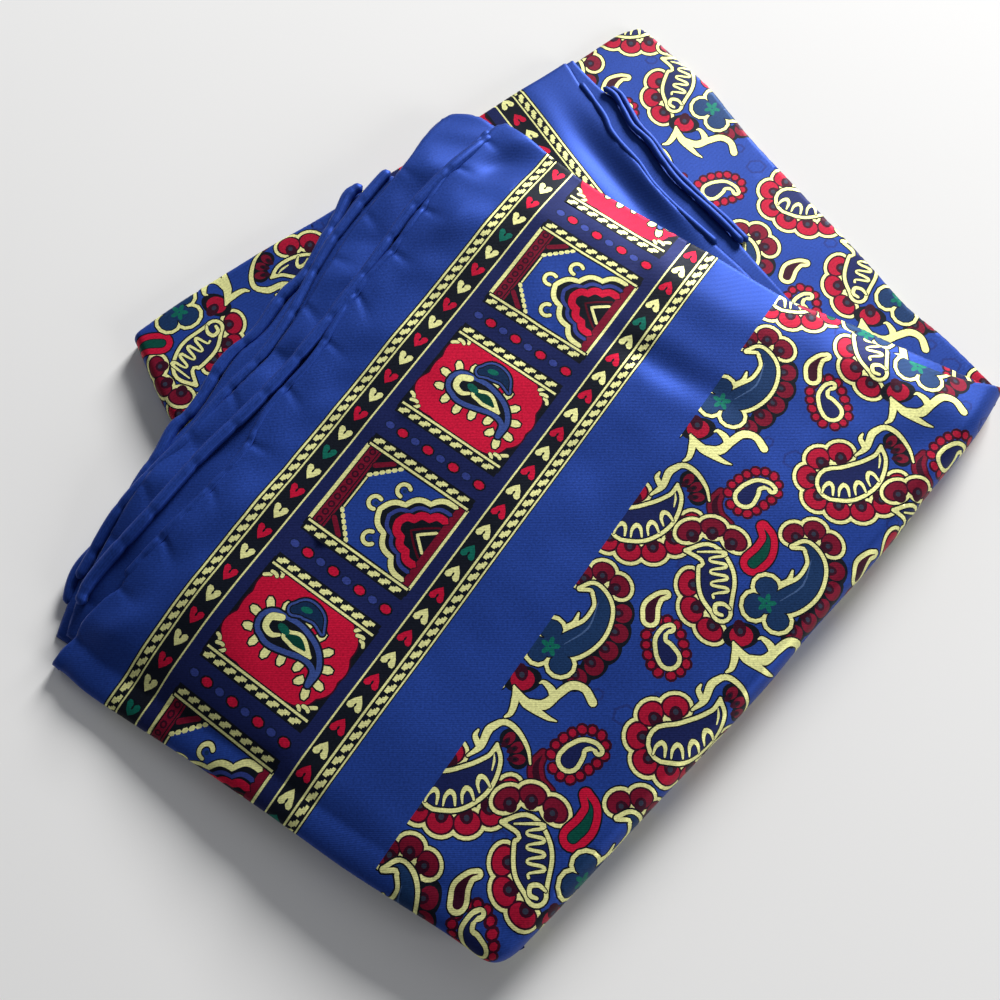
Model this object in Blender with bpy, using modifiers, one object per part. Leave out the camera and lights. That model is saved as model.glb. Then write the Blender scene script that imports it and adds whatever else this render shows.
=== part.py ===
"""A silk neckerchief, folded into a flat bundle and laid on a table.

The square of silk is folded in half and in half again, which gives four layers
with the half folds on one side and four rolled hems on the other. The hemmed
side is turned over to stop a little short of the half folds, which makes a
strip of eight layers. The strip's other hemmed end is then folded back over it
on a slanting crease: sixteen layers in all.

Each stretch that shows is a wall of its own, two layers of silk thick, and the
layers that stay hidden share one rounded core. The rolled hems that show are
round beads along the free edges.

Sizes are in millimetres here and metres in the model. X is to the right, Y is
away from the near corner, Z is up, and the silk lies on Z = 0.
"""

from math import cos, hypot, pi, radians, sin, sqrt

import bmesh
import bpy
from mathutils import Vector

MM = 0.001

# ------------------------------------------------------------------- the cut
SQUARE = 640.0  # the side of the silk square
SHORT_OF_FOLD = 32.0  # how far the turned-over hems stop from the half folds
STRIP_WIDTH = (SQUARE / 2 + SHORT_OF_FOLD) / 2
SPREAD = 4.0  # how much wider the loosely folded strip lies

# ----------------------------------------------------------------- thickness
PAIR = 1.4  # two layers of silk at the bottom of the bundle
LIGHT_PAIR = 1.2  # two layers higher up
CORE = 2.6  # the hidden layers of the upper stack
GAP = 0.3  # between any two walls
LOOSE_GAP = 0.6  # between the curved walls of the upper stack
ROLL = 2.0  # the diameter of a rolled hem

# ---------------------------------------------- the bundle's corners, in plan
# The lower stack runs from the quarter fold to the crease.
QUARTER_HALF = (45.6, 153.0)  # the quarter fold's end at the half folds
QUARTER_ANGLE = 36.7  # degrees from X to the quarter fold
CREASE_HALF = (134.6, 29.0)
CREASE_SIDE = (0.0, -112.0)
# The upper stack runs from the crease to the rolled hems.
TOP_FAR = (2.3, 110.0)
TOP_NEAR = (-109.6, -43.0)
SECOND_FAR = (-13.0, 116.0)
SECOND_NEAR = (-107.0, -29.5)
CORE_FAR = (-37.5, 90.0)
CORE_NEAR = (-108.6, -31.5)
CORE_CREASE = (111.4, 4.8)
# The turned-over hems of the lower stack, from far to near.
BORDER_HEM = ((21.4, 129.6), (60.0, 70.5))
UNDER_HEM = ((30.2, 127.0), (70.8, 64.8))
TOP_ROLL = ((-2.0, 107.0), (-105.5, -31.5))

CENTRE = (11.0, 19.1)  # the middle of the bundle in this plan

# How far each side of an upper wall bows outwards.
BOWS = {
    "top_pair": {"hem": -4.5, "half": -6.5, "crease": 2.8, "side": 0.0},
    "second_pair": {"hem": 2.5, "half": -7.5, "crease": 2.8, "side": 0.0},
    "folded_core": {"hem": 1.5, "half": 0.0, "crease": 2.8, "side": 0.0},
}

# How far each side of a wall lies inside its outline.
INSETS = {
    "under_pair": {"quarter": 0.0, "half": 0.0, "crease": 8.0, "side": 0.6},
    "facing_pair": {"quarter": 1.0, "half": 1.3, "crease": 4.2, "side": 1.2},
    "under_border": {"quarter": 1.6, "half": 0.0, "crease": 3.0, "side": 1.2},
    "border_pair": {"quarter": 0.3, "half": 0.0, "crease": 3.0, "side": 0.6},
    "folded_core": {"hem": 0.0, "half": 0.0, "crease": 3.2, "side": 0.8},
    "second_pair": {"hem": 0.0, "half": 0.0, "crease": 8.5, "side": 4.4},
    "top_pair": {"hem": 0.0, "half": 0.0, "crease": 5.0, "side": 2.8},
}

# ------------------------------------------------------------ round and sink
CREASE_LIP = 2.0  # how far the round of the crease runs on under the bundle
SIDE_DROP = 2.4  # how far the round of the side fold comes down
CREASE_STEPS = 8
SIDE_STEPS = 4
CORNER_ROUND = 3.0
QUARTER_ROUND = 9.0  # the lower stack's far corner is rounder
SINK_START = 12.0  # an upper wall sinks past the edge of what it lies on
SINK_LENGTH = 28.0
FLOOR_SINK = 40.0  # and more slowly where it comes down to the floor
ACROSS = 18  # mesh steps of an upper wall from hem to crease
ALONG = 20  # and from side fold to half folds
RIM_STEPS = (0.0, 0.3, 1.0)  # shares of the rim's radius with a mesh line
ROLL_POINTS = 16

BLUE = (0.045, 0.07, 0.30, 1.0)
PRINTED = (0.10, 0.045, 0.12, 1.0)


# ---------------------------------------------------------------- plan tools
def towards(a, b, share):
    """The point a share of the way from a to b."""
    return (a[0] + (b[0] - a[0]) * share, a[1] + (b[1] - a[1]) * share)


def moved(point, direction, distance):
    return (point[0] + direction[0] * distance, point[1] + direction[1] * distance)


def unit(a, b):
    length = hypot(b[0] - a[0], b[1] - a[1])
    return ((b[0] - a[0]) / length, (b[1] - a[1]) / length)


def left_of(a, b):
    """The direction to the left of the line from a to b.

    Outlines run clockwise, so this points out of the bundle.
    """
    along = unit(a, b)
    return (-along[1], along[0])


def outside(point, a, b):
    """How far a point lies to the left of the line from a to b."""
    out = left_of(a, b)
    return (point[0] - a[0]) * out[0] + (point[1] - a[1]) * out[1]


def crossing(a, b, c, d):
    """Where the line a-b meets the line c-d."""
    reach = outside(a, c, d)
    return towards(a, b, reach / (reach - outside(b, c, d)))


def shrunk(corners, insets):
    """A clockwise outline with each side moved in by its own distance."""
    sides = []
    for i, distance in enumerate(insets):
        a, b = corners[i], corners[(i + 1) % len(corners)]
        out = left_of(a, b)
        sides.append((moved(a, out, -distance), moved(b, out, -distance)))
    return [crossing(*sides[i - 1], *sides[i]) for i in range(len(sides))]


def bowed(a, b, bow, share):
    """A point on the side from a to b, which bows to its left."""
    return moved(towards(a, b, share), left_of(a, b), bow * 4 * share * (1 - share))


def patch(corners, bows, u, v):
    """A point of a four-sided patch with bowed sides.

    u runs from the hem to the crease, v from the side fold to the half folds.
    """
    near, far, crease_far, crease_near = corners
    hem = bowed(near, far, bows["hem"], v)
    crease = bowed(crease_far, crease_near, bows["crease"], 1 - v)
    side = bowed(crease_near, near, bows["side"], 1 - u)
    half = bowed(far, crease_far, bows["half"], u)
    flat = towards(towards(near, crease_near, u), towards(far, crease_far, u), v)
    across = towards(hem, crease, u)
    along = towards(side, half, v)
    return (across[0] + along[0] - flat[0], across[1] + along[1] - flat[1])


def placed(point, height):
    """A plan point and a height, in millimetres, as a place in the model."""
    return Vector((point[0] - CENTRE[0], point[1] - CENTRE[1], height)) * MM


# ------------------------------------------------------------------- heights
def sink(distance, length=SINK_LENGTH):
    """1 on a stack, and softly down to 0 past its edge."""
    t = min(max((distance - SINK_START) / length, 0.0), 1.0)
    return 1 - t * t * (3 - 2 * t)


def bed(point):
    """How high the lower stack holds what lies on it."""
    turned = 2 * (LIGHT_PAIR + GAP) * sink(outside(point, *UNDER_HEM))
    full = 2 * (PAIR + GAP) + turned
    return full * sink(outside(point, CREASE_SIDE, QUARTER_SIDE), FLOOR_SINK)


def above_core(point):
    """How high the bundle reaches under the second pair."""
    return bed(point) + (CORE + LOOSE_GAP) * sink(outside(point, CORE_FAR, CORE_CREASE))


def above_second(point):
    return above_core(point) + LIGHT_PAIR + LOOSE_GAP


# The quarter fold's other end, at the side fold, is a strip's width from the first.
QUARTER_SIDE = moved(
    QUARTER_HALF,
    (cos(radians(QUARTER_ANGLE)), sin(radians(QUARTER_ANGLE))),
    -(STRIP_WIDTH + SPREAD),
)

UPPER = {
    "top_pair": (TOP_NEAR, TOP_FAR, CREASE_HALF, CREASE_SIDE),
    "second_pair": (SECOND_NEAR, SECOND_FAR, CREASE_HALF, CREASE_SIDE),
    "folded_core": (CORE_NEAR, CORE_FAR, CORE_CREASE, CREASE_SIDE),
}


def upper_corners(name):
    """The corners of an upper wall, inside its outline: hem side first."""
    sides = INSETS[name]
    distances = [sides[side] for side in ("hem", "half", "crease", "side")]
    return shrunk(UPPER[name], distances)


# ------------------------------------------------------------------ the scene
def clear_scene():
    for old in list(bpy.data.objects):
        bpy.data.objects.remove(old, do_unlink=True)


def silk(name, colour):
    material = bpy.data.materials.new(name)
    material.use_nodes = True
    shader = material.node_tree.nodes["Principled BSDF"]
    shader.inputs["Base Color"].default_value = colour
    shader.inputs["Roughness"].default_value = 0.5
    shader.inputs["Metallic"].default_value = 0.0
    return material


def add_object(name, data, collection, colour):
    piece = bpy.data.objects.new(name, data)
    data.materials.append(silk(name + "_silk", colour))
    collection.objects.link(piece)
    return piece


# ------------------------------------------------------------ the lower stack
def rounded_outline(corners, rounds):
    """The outline with each corner cut by a soft curve of its own reach."""
    points = []
    for i, corner in enumerate(corners):
        before = moved(corner, unit(corner, corners[i - 1]), rounds[i])
        after = moved(corner, unit(corner, corners[(i + 1) % len(corners)]), rounds[i])
        for step in range(5):
            share = step / 4
            points.append(
                towards(
                    towards(before, corner, share), towards(corner, after, share), share
                )
            )
    return points


def flat_wall(name, corners, bottom, thickness, collection, colour):
    """A wall that lies flat, with round folded edges."""
    sides = INSETS[name]
    distances = [sides[side] for side in ("quarter", "half", "crease", "side")]
    rounds = (CORNER_ROUND, QUARTER_ROUND, CORNER_ROUND, CORNER_ROUND)
    outline = rounded_outline(shrunk(corners, distances), rounds)
    curve = bpy.data.curves.new(name, "CURVE")
    curve.dimensions = "2D"
    curve.fill_mode = "BOTH"
    curve.bevel_depth = thickness / 2 * MM
    curve.bevel_resolution = 2
    curve.offset = -curve.bevel_depth
    spline = curve.splines.new("POLY")
    spline.points.add(len(outline) - 1)
    for knot, point in zip(spline.points, outline):
        knot.co = (*placed(point, 0.0), 1.0)
    spline.use_cyclic_u = True
    piece = add_object(name, curve, collection, colour)
    piece.location.z = (bottom + thickness / 2) * MM
    return piece


def lower_stack(collection):
    """The first half of the strip, from the floor up."""
    whole = (QUARTER_SIDE, QUARTER_HALF, CREASE_HALF, CREASE_SIDE)
    level = 0.0
    flat_wall("under_pair", whole, level, PAIR, collection, PRINTED)
    level += PAIR + GAP
    flat_wall("facing_pair", whole, level, PAIR, collection, PRINTED)
    level += PAIR + GAP
    for name, hem in (("under_border", UNDER_HEM), ("border_pair", BORDER_HEM)):
        turned = (
            QUARTER_SIDE,
            crossing(QUARTER_SIDE, QUARTER_HALF, *hem),
            crossing(CREASE_HALF, CREASE_SIDE, *hem),
            CREASE_SIDE,
        )
        flat_wall(name, turned, level, LIGHT_PAIR, collection, BLUE)
        level += LIGHT_PAIR + GAP


# ------------------------------------------------------------ the upper stack
def rim_shares(length, steps, radius):
    """Shares of a side's length with a mesh line, close together at its rims."""
    rim = [radius * share / length for share in RIM_STEPS]
    inner = [rim[-1] + (1 - 2 * rim[-1]) * i / steps for i in range(1, steps)]
    return rim + inner + [1 - share for share in reversed(rim)]


def rim_height(share, length, radius):
    """How full the wall is here: 0 at its rim, 1 past the rim's radius."""
    depth = min(share, 1 - share) * length / radius
    return sqrt(max(0.0, 1 - (1 - min(depth, 1.0)) ** 2))


def soft_wall(name, floor, thickness, collection, colour):
    """A closed wall with round rims that lies on what is under it."""
    corners, bows = upper_corners(name), BOWS[name]
    radius = thickness / 2
    length = hypot(*(a - b for a, b in zip(corners[0], corners[3])))
    width = hypot(*(a - b for a, b in zip(corners[0], corners[1])))
    us = rim_shares(length, ACROSS, radius)
    vs = rim_shares(width, ALONG, radius)
    mesh = bmesh.new()
    for face in (1, -1):
        rows = []
        for u in us:
            row = []
            for v in vs:
                point = patch(corners, bows, u, v)
                full = rim_height(u, length, radius) * rim_height(v, width, radius)
                height = floor(point) + radius + face * radius * full
                row.append(mesh.verts.new(placed(point, height)))
            rows.append(row)
        for i in range(len(us) - 1):
            for j in range(len(vs) - 1):
                corner = (rows[i][j], rows[i + 1][j], rows[i + 1][j + 1], rows[i][j + 1])
                mesh.faces.new(corner if face == 1 else corner[::-1])
    bmesh.ops.remove_doubles(mesh, verts=mesh.verts, dist=0.00001)
    data = bpy.data.meshes.new(name)
    mesh.to_mesh(data)
    mesh.free()
    data.shade_smooth()
    return add_object(name, data, collection, colour)


def crease_round(point, angle, top, lip):
    """The silk going round the crease, at an angle from the top.

    Gives the plan point, the height and the direction to the inside.
    """
    out = left_of(CREASE_HALF, CREASE_SIDE)
    reach = INSETS["top_pair"]["crease"]
    place = moved(point, out, reach * sin(angle) - lip)
    inside = Vector((-out[0] * sin(angle), -out[1] * sin(angle), -cos(angle)))
    return place, top / 2 * (1 + cos(angle)), inside


def top_wall(collection):
    """The top of the bundle, down round the crease and over the side fold."""
    name = "top_pair"
    corners, bows = upper_corners(name), BOWS[name]
    reach = INSETS[name]["side"]
    across = ACROSS + CREASE_STEPS + 1
    along = ALONG + SIDE_STEPS
    mesh = bmesh.new()
    rows = []
    for i in range(across + 1):
        u = min(i / ACROSS, 1.0)
        angle = pi * min(max(i - ACROSS, 0) / CREASE_STEPS, 1.0)
        lip = CREASE_LIP if i == across else 0.0
        outwards = unit(patch(corners, bows, u, 0.1), patch(corners, bows, u, 0.0))
        row = []
        for j in range(along + 1):
            v = min(max(j - SIDE_STEPS, 0) / ALONG, 1.0)
            turn = pi / 2 * max(SIDE_STEPS - j, 0) / SIDE_STEPS
            point = patch(corners, bows, u, v)
            top = above_second(point) + LIGHT_PAIR
            place, height, inside = crease_round(point, angle, top, lip)
            place = moved(place, outwards, reach * sin(turn))
            drop = SIDE_DROP * (1 - cos(turn))
            row.append(mesh.verts.new(placed(place, height) + inside * drop * MM))
        rows.append(row)
    for i in range(across):
        for j in range(along):
            mesh.faces.new((rows[i][j], rows[i + 1][j], rows[i + 1][j + 1], rows[i][j + 1]))
    data = bpy.data.meshes.new(name)
    mesh.to_mesh(data)
    mesh.free()
    data.shade_smooth()
    piece = add_object(name, data, collection, PRINTED)
    wall = piece.modifiers.new("wall", "SOLIDIFY")
    wall.thickness = LIGHT_PAIR * MM
    wall.offset = -1.0
    return piece


# ------------------------------------------------------------ the rolled hems
def rolled_hem(name, points, collection):
    """A round bead along a free edge."""
    curve = bpy.data.curves.new(name, "CURVE")
    curve.dimensions = "3D"
    curve.bevel_depth = ROLL / 2 * MM
    curve.bevel_resolution = 2
    curve.use_fill_caps = True
    spline = curve.splines.new("POLY")
    spline.points.add(len(points) - 1)
    for knot, point in zip(spline.points, points):
        knot.co = (*point, 1.0)
    return add_object(name, curve, collection, BLUE)


def straight_hem(name, line, start, end, out, height, collection):
    """A hem beside a line, from one share of it to another."""
    points = []
    for i in range(ROLL_POINTS):
        point = towards(*line, start + (end - start) * i / (ROLL_POINTS - 1))
        point = moved(point, left_of(*line), out)
        level = height(point) if callable(height) else height
        points.append(placed(point, level + ROLL / 2))
    return rolled_hem(name, points, collection)


def rolled_hems(collection):
    beside = ROLL / 2 + GAP
    border_level = 2 * (PAIR + GAP) + LIGHT_PAIR + GAP
    facing_level = 2 * (PAIR + GAP)
    straight_hem("border_hem_1", BORDER_HEM, -0.03, 0.95, beside, border_level, collection)
    straight_hem(
        "border_hem_2", BORDER_HEM, 0.02, 0.93, beside + ROLL + GAP, border_level, collection
    )
    straight_hem("border_hem_3", UNDER_HEM, 0.0, 0.97, beside, facing_level, collection)
    straight_hem("top_hem", TOP_ROLL[::-1], 0.0, 1.0, 0.0, above_second, collection)
    core_edge = (CORE_NEAR, CORE_FAR)
    straight_hem("core_hem", core_edge, 0.0, 0.98, beside + 1.5, bed, collection)


def build():
    clear_scene()
    bundle = bpy.data.collections.new("silk_neckerchief")
    bpy.context.scene.collection.children.link(bundle)
    lower_stack(bundle)
    soft_wall("folded_core", bed, CORE, bundle, BLUE)
    soft_wall("second_pair", above_core, LIGHT_PAIR, bundle, BLUE)
    top_wall(bundle)
    rolled_hems(bundle)


build()
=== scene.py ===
"""The looks of a folded silk neckerchief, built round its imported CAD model.

The square is folded in half, in half again and lengthwise, and the strip is then
folded back over itself on a slanting crease. Every stretch of silk that shows is
a thin shell of its own: it is drawn flat, print and all, and then laid on the
form of the solid that it stands for, over that solid's folded edges.

Drawing is in millimetres on the plan of the bundle: X is to the right, Y is away
from the near corner. The model is in metres. The print is the builder's own
drawing of traditional paisleys, hearts and scallops.
"""

import bmesh
import bpy
import numpy as np
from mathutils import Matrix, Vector
from mathutils.geometry import delaunay_2d_cdt


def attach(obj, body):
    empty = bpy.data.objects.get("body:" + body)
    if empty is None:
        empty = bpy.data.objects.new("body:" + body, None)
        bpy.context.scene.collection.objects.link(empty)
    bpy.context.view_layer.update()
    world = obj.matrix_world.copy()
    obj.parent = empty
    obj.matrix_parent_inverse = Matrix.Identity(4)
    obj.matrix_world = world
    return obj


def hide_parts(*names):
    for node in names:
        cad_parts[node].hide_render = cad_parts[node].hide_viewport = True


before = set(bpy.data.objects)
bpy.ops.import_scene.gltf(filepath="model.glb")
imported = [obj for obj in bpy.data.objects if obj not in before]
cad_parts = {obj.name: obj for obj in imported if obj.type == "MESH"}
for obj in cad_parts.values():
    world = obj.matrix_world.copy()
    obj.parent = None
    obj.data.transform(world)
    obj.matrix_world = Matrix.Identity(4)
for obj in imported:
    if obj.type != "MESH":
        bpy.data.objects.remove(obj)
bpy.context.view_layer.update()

MM = 0.001
CENTRE = np.array((11.0, 19.1))  # the middle of the bundle on the plan


def placed(places):
    """Plan millimetres with heights, as places in the model."""
    return (places - np.array((*CENTRE, 0.0))) * MM


# ------------------------------------------------------- camera, floor, light
CAMERA_AIM = Vector((-11.0, -19.1, 0.0)) * MM
CAMERA_DISTANCE = 0.250  # metres, as the lights' places and sizes are
CAMERA_ELEVATION = np.radians(73.0)
CAMERA_LENS = 34.2
SENSOR_WIDTH = 36.0
FLOOR_REACH = 2.0
FLOOR_DROP = 0.0002  # keeps the floor just clear of the silk


def add_camera():
    data = bpy.data.cameras.new("camera")
    data.lens = CAMERA_LENS
    data.sensor_width = SENSOR_WIDTH
    data.clip_start = 0.01
    camera = bpy.data.objects.new("camera", data)
    back = Vector((0.0, -np.cos(CAMERA_ELEVATION), np.sin(CAMERA_ELEVATION)))
    camera.location = CAMERA_AIM + back * CAMERA_DISTANCE
    camera.rotation_euler = back.to_track_quat("Z", "Y").to_euler()
    bpy.context.scene.collection.objects.link(camera)
    bpy.context.scene.camera = camera


def add_floor():
    mesh = bmesh.new()
    bmesh.ops.create_grid(mesh, x_segments=4, y_segments=4, size=FLOOR_REACH)
    data = bpy.data.meshes.new("floor")
    mesh.to_mesh(data)
    mesh.free()
    floor = bpy.data.objects.new("floor", data)
    floor.location.z = -FLOOR_DROP
    bpy.context.scene.collection.objects.link(floor)
    material = bpy.data.materials.new("pale_floor")
    material.use_nodes = True
    shader = material.node_tree.nodes["Principled BSDF"]
    shader.inputs["Base Color"].default_value = (0.86, 0.86, 0.86, 1.0)
    shader.inputs["Roughness"].default_value = 0.85
    shader.inputs["Specular IOR Level"].default_value = 0.1
    data.materials.append(material)


def add_light(name, place, size, power, colour):
    """A square soft light that faces the bundle."""
    data = bpy.data.lights.new(name, "AREA")
    data.size = size
    data.energy = power
    data.color = colour
    light = bpy.data.objects.new(name, data)
    light.location = place
    light.rotation_euler = Vector(place).to_track_quat("Z", "Y").to_euler()
    bpy.context.scene.collection.objects.link(light)


def add_lights():
    add_light("window", (0.82, 1.54, 0.74), 0.62, 64.0, (1.0, 0.99, 0.97))
    add_light("side_softbox", (-0.60, 0.90, 0.60), 0.50, 1.4, (0.95, 0.97, 1.0))
    add_light("fill_card", (0.95, -0.55, 0.45), 0.50, 4.0, (1.0, 1.0, 1.0))
    world = bpy.data.worlds.new("studio")
    world.use_nodes = True
    world.node_tree.nodes["Background"].inputs["Color"].default_value = (0.9, 0.93, 1.0, 1.0)
    world.node_tree.nodes["Background"].inputs["Strength"].default_value = 0.11
    bpy.context.scene.world = world
    bpy.context.scene.view_settings.view_transform = "Standard"


# ------------------------------------------------------------- the folded form
# These are the plan corners, heights and thicknesses of the CAD solids.
PAIR = 1.4  # two layers of silk at the bottom of the bundle
LIGHT_PAIR = 1.2  # two layers higher up
CORE = 2.6  # the hidden layers of the upper stack
GAP = 0.3  # between two walls
LOOSE_GAP = 0.6  # between two of the upper stack's curved walls
SINK_START = 12.0  # how far past an edge the silk above begins to sink
SINK_LENGTH = 28.0
FLOOR_SINK = 40.0
CORE_RIM = 15.0  # how far from the near rim the core starts to thin
CORE_THINNING = 0.85
QUARTER_SIDE = np.array((-98.7, 45.4))
CREASE_SIDE = np.array((0.0, -112.0))
TOP_NEAR = np.array((-109.6, -43.0))
CORE_FAR = np.array((-37.5, 90.0))
CORE_CREASE = np.array((111.4, 4.8))
BORDER_HEM = (np.array((21.4, 129.6)), np.array((60.0, 70.5)))
UNDER_HEM = (np.array((30.2, 127.0)), np.array((70.8, 64.8)))


def unit(vector):
    return vector / np.linalg.norm(vector)


def left_of(start, end):
    """The direction to the left of a line. Outlines run clockwise, so it is out."""
    along = unit(np.subtract(end, start))
    return np.array((-along[1], along[0]))


def outside(points, start, end):
    """How far points lie to the left of a line."""
    return (points - start) @ left_of(start, end)


def share_along(points, start, end):
    """How far along a line points lie, from 0 at its start to 1 at its end."""
    run = np.subtract(end, start)
    return (points - start) @ run / (run @ run)


def soft_step(value):
    """From 0 to 1, soft at both ends."""
    t = np.clip(value, 0.0, 1.0)
    return t * t * (3.0 - 2.0 * t)


def sink(distance, length=SINK_LENGTH):
    """1 on a stack, and softly down to 0 past its edge."""
    return 1.0 - soft_step((distance - SINK_START) / length)


def bed(points):
    """How high the lower stack holds what lies on it."""
    turned = 2 * (LIGHT_PAIR + GAP) * sink(outside(points, *UNDER_HEM))
    full = 2 * (PAIR + GAP) + turned
    return full * sink(outside(points, CREASE_SIDE, QUARTER_SIDE), FLOOR_SINK)


def core_share(points):
    """How thick the core still is where the stack slopes down to its near rim."""
    past_rim = outside(points, CREASE_SIDE, TOP_NEAR)
    return 1.0 - CORE_THINNING * soft_step((past_rim + CORE_RIM) / CORE_RIM)


def above_core(points):
    past_core = outside(points, CORE_FAR, CORE_CREASE)
    return bed(points) + (CORE * core_share(points) + LOOSE_GAP) * sink(past_core)


def above_second(points):
    return above_core(points) + LIGHT_PAIR + LOOSE_GAP


def ripple(points, size, seed):
    """An uneven gentle wave from about -1 to 1, with hills about one size apart."""
    dice = np.random.default_rng(seed)
    wave = np.zeros(len(points))
    for _ in range(6):
        angle = dice.uniform(0.0, 2 * np.pi)
        phase = dice.uniform(0.0, 2 * np.pi)
        pitch = size * dice.uniform(0.8, 1.6)
        way = np.array((np.cos(angle), np.sin(angle)))
        wave += np.sin(points @ way * 2 * np.pi / pitch + phase)
    return wave / 3.0


def bump_at(points, place, length, width, angle):
    """A soft hill, 1 at its place, that is long at an angle in degrees from X."""
    turn = np.radians(angle)
    along = np.array((np.cos(turn), np.sin(turn)))
    across = np.array((-along[1], along[0]))
    gap = points - np.array(place)
    return np.exp(-((gap @ along / length) ** 2) - (gap @ across / width) ** 2)


# --------------------------------------------------------------- drawing tools
def smooth_line(knots, steps=6, closed=False):
    """A smooth curve through the knots."""
    knots = np.asarray(knots, float)
    if closed:
        knots = np.concatenate((knots[-1:], knots, knots[:2]))
    else:
        first = 2 * knots[0] - knots[1]
        last = 2 * knots[-1] - knots[-2]
        knots = np.concatenate((first[None], knots, last[None]))
    before, start, end, after = knots[:-3], knots[1:-2], knots[2:-1], knots[3:]
    pieces = []
    for step in range(steps):
        t = step / steps
        pieces.append(
            0.5 * (
                2 * start
                + (end - before) * t
                + (2 * before - 5 * start + 4 * end - after) * t ** 2
                + (3 * start - before - 3 * end + after) * t ** 3
            )
        )
    curve = np.stack(pieces, axis=1).reshape(-1, knots.shape[1])
    return curve if closed else np.concatenate((curve, knots[-2:-1]))


def resampled(line, count):
    """The same line with its points evenly spaced."""
    steps = np.linalg.norm(np.diff(line, axis=0), axis=1)
    run = np.concatenate(((0.0,), np.cumsum(steps)))
    at = np.linspace(0.0, run[-1], count)
    return np.stack([np.interp(at, run, line[:, k]) for k in range(line.shape[1])], axis=1)


def oval(centre, along, across, angle=0.0, points=12):
    turn = np.linspace(0.0, 2 * np.pi, points, endpoint=False)
    flat = np.stack((along * np.cos(turn), across * np.sin(turn)), axis=1)
    return turned(flat, angle) + np.array(centre)


def turned(points, angle):
    """Points turned about the origin, by an angle in degrees."""
    c, s = np.cos(np.radians(angle)), np.sin(np.radians(angle))
    return np.asarray(points, float) @ np.array(((c, s), (-s, c)))


def sides_of(line):
    """The direction to the left at each point of a line."""
    along = np.gradient(line, axis=0)
    along /= np.maximum(np.linalg.norm(along, axis=1), 1e-9)[:, None]
    return np.stack((-along[:, 1], along[:, 0]), axis=1)


def round_cap(end, side, points=3):
    """A half circle round the end of a line, from its right side to its left."""
    ahead = np.array((side[1], -side[0]))
    turn = np.linspace(0.0, np.pi, points + 2)[1:-1]
    return end - np.outer(np.cos(turn), side) + np.outer(np.sin(turn), ahead)


def ribbon(line, width, points=3):
    """The outline of a drawn line. Its width is one number, or one at each point."""
    half = np.broadcast_to(np.asarray(width, float) / 2, len(line))
    side = sides_of(line) * half[:, None]
    front = round_cap(line[-1], side[-1], points)
    back = round_cap(line[0], -side[0], points)
    return np.concatenate((line - side, front, (line + side)[::-1], back))


def leaf(spine, widths, steps=6):
    """A closed leaf round a smooth spine, as wide at each knot as widths says."""
    line = smooth_line(np.column_stack((np.asarray(spine, float), widths)), steps)
    return ribbon(line[:, :2], np.maximum(line[:, 2], 0.1), 7)


def grown(outline, distance):
    """The outline moved out by a distance, or in where that is negative."""
    if distance == 0.0:
        return outline
    x, y = outline[:, 0], outline[:, 1]
    turning = np.sum(x * np.roll(y, -1) - y * np.roll(x, -1))
    step = np.roll(outline, -1, axis=0) - outline
    step /= np.maximum(np.linalg.norm(step, axis=1), 1e-9)[:, None]
    along = step + np.roll(step, 1, axis=0)
    along /= np.maximum(np.linalg.norm(along, axis=1), 1e-9)[:, None]
    out = np.stack((along[:, 1], -along[:, 0]), axis=1) * np.sign(turning)
    moved = outline + out * distance
    middles = (outline + np.roll(outline, -1, axis=0)) / 2
    near = np.concatenate((outline, middles))
    gaps = np.linalg.norm(moved[:, None] - near[None], axis=2).min(axis=1)
    return moved[gaps > abs(distance) * 0.85]


def inside(points, outline):
    """Which points lie inside a closed outline."""
    x, y = points[:, :1], points[:, 1:]
    x0, y0 = outline[:, 0], outline[:, 1]
    x1, y1 = np.roll(x0, -1), np.roll(y0, -1)
    rise = np.where(y1 == y0, 1e-12, y1 - y0)
    crosses = ((y0 <= y) != (y1 <= y)) & (x < x0 + (y - y0) * (x1 - x0) / rise)
    return crosses.sum(axis=1) % 2 == 1


# ------------------------------------------------------------------- the dyes
def dye(red, green, blue):
    """A colour as seen, 0 to 255, as the light it gives back."""
    seen = np.array((red, green, blue)) / 255.0
    return np.where(seen <= 0.04045, seen / 12.92, ((seen + 0.055) / 1.055) ** 2.4)


BLUE = dye(37, 67, 150)
NAVY = dye(29, 38, 88)
DEEP_NAVY = dye(24, 34, 72)
GHOST = dye(36, 56, 128)
INK = dye(20, 24, 34)
INK_RED = dye(58, 16, 36)
CREAM = dye(240, 240, 166)
RED = dye(204, 22, 60)
PETAL_RED = dye(172, 22, 54)
DARK_RED = dye(122, 20, 46)
TEAL = dye(28, 56, 98)
GREEN = dye(18, 108, 92)
SMOKE = dye(52, 56, 74)
DOT_BLUE = dye(54, 68, 142)
BULB_BLUE = dye(60, 82, 150)
VEIN_BLUE = dye(70, 96, 140)

CREAM_ROUND_NAVY = ((0.4, INK), (0.0, CREAM), (-0.95, INK), (-1.25, NAVY))
CREAM_ROUND_TEAL = ((0.4, INK), (0.0, CREAM), (-0.95, INK), (-1.25, TEAL))


# ----------------------------------------------------------------- the drawing
class Print:
    """What is drawn on one flat piece of silk, each shape over those before."""

    def __init__(self, field=None):
        self.shapes = []
        self.field = field  # the outline that cuts the field's motifs off

    def lay(self, outline, colour, in_field=False):
        if len(outline) > 2:
            self.shapes.append((np.asarray(outline, float), colour, in_field))


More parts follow.
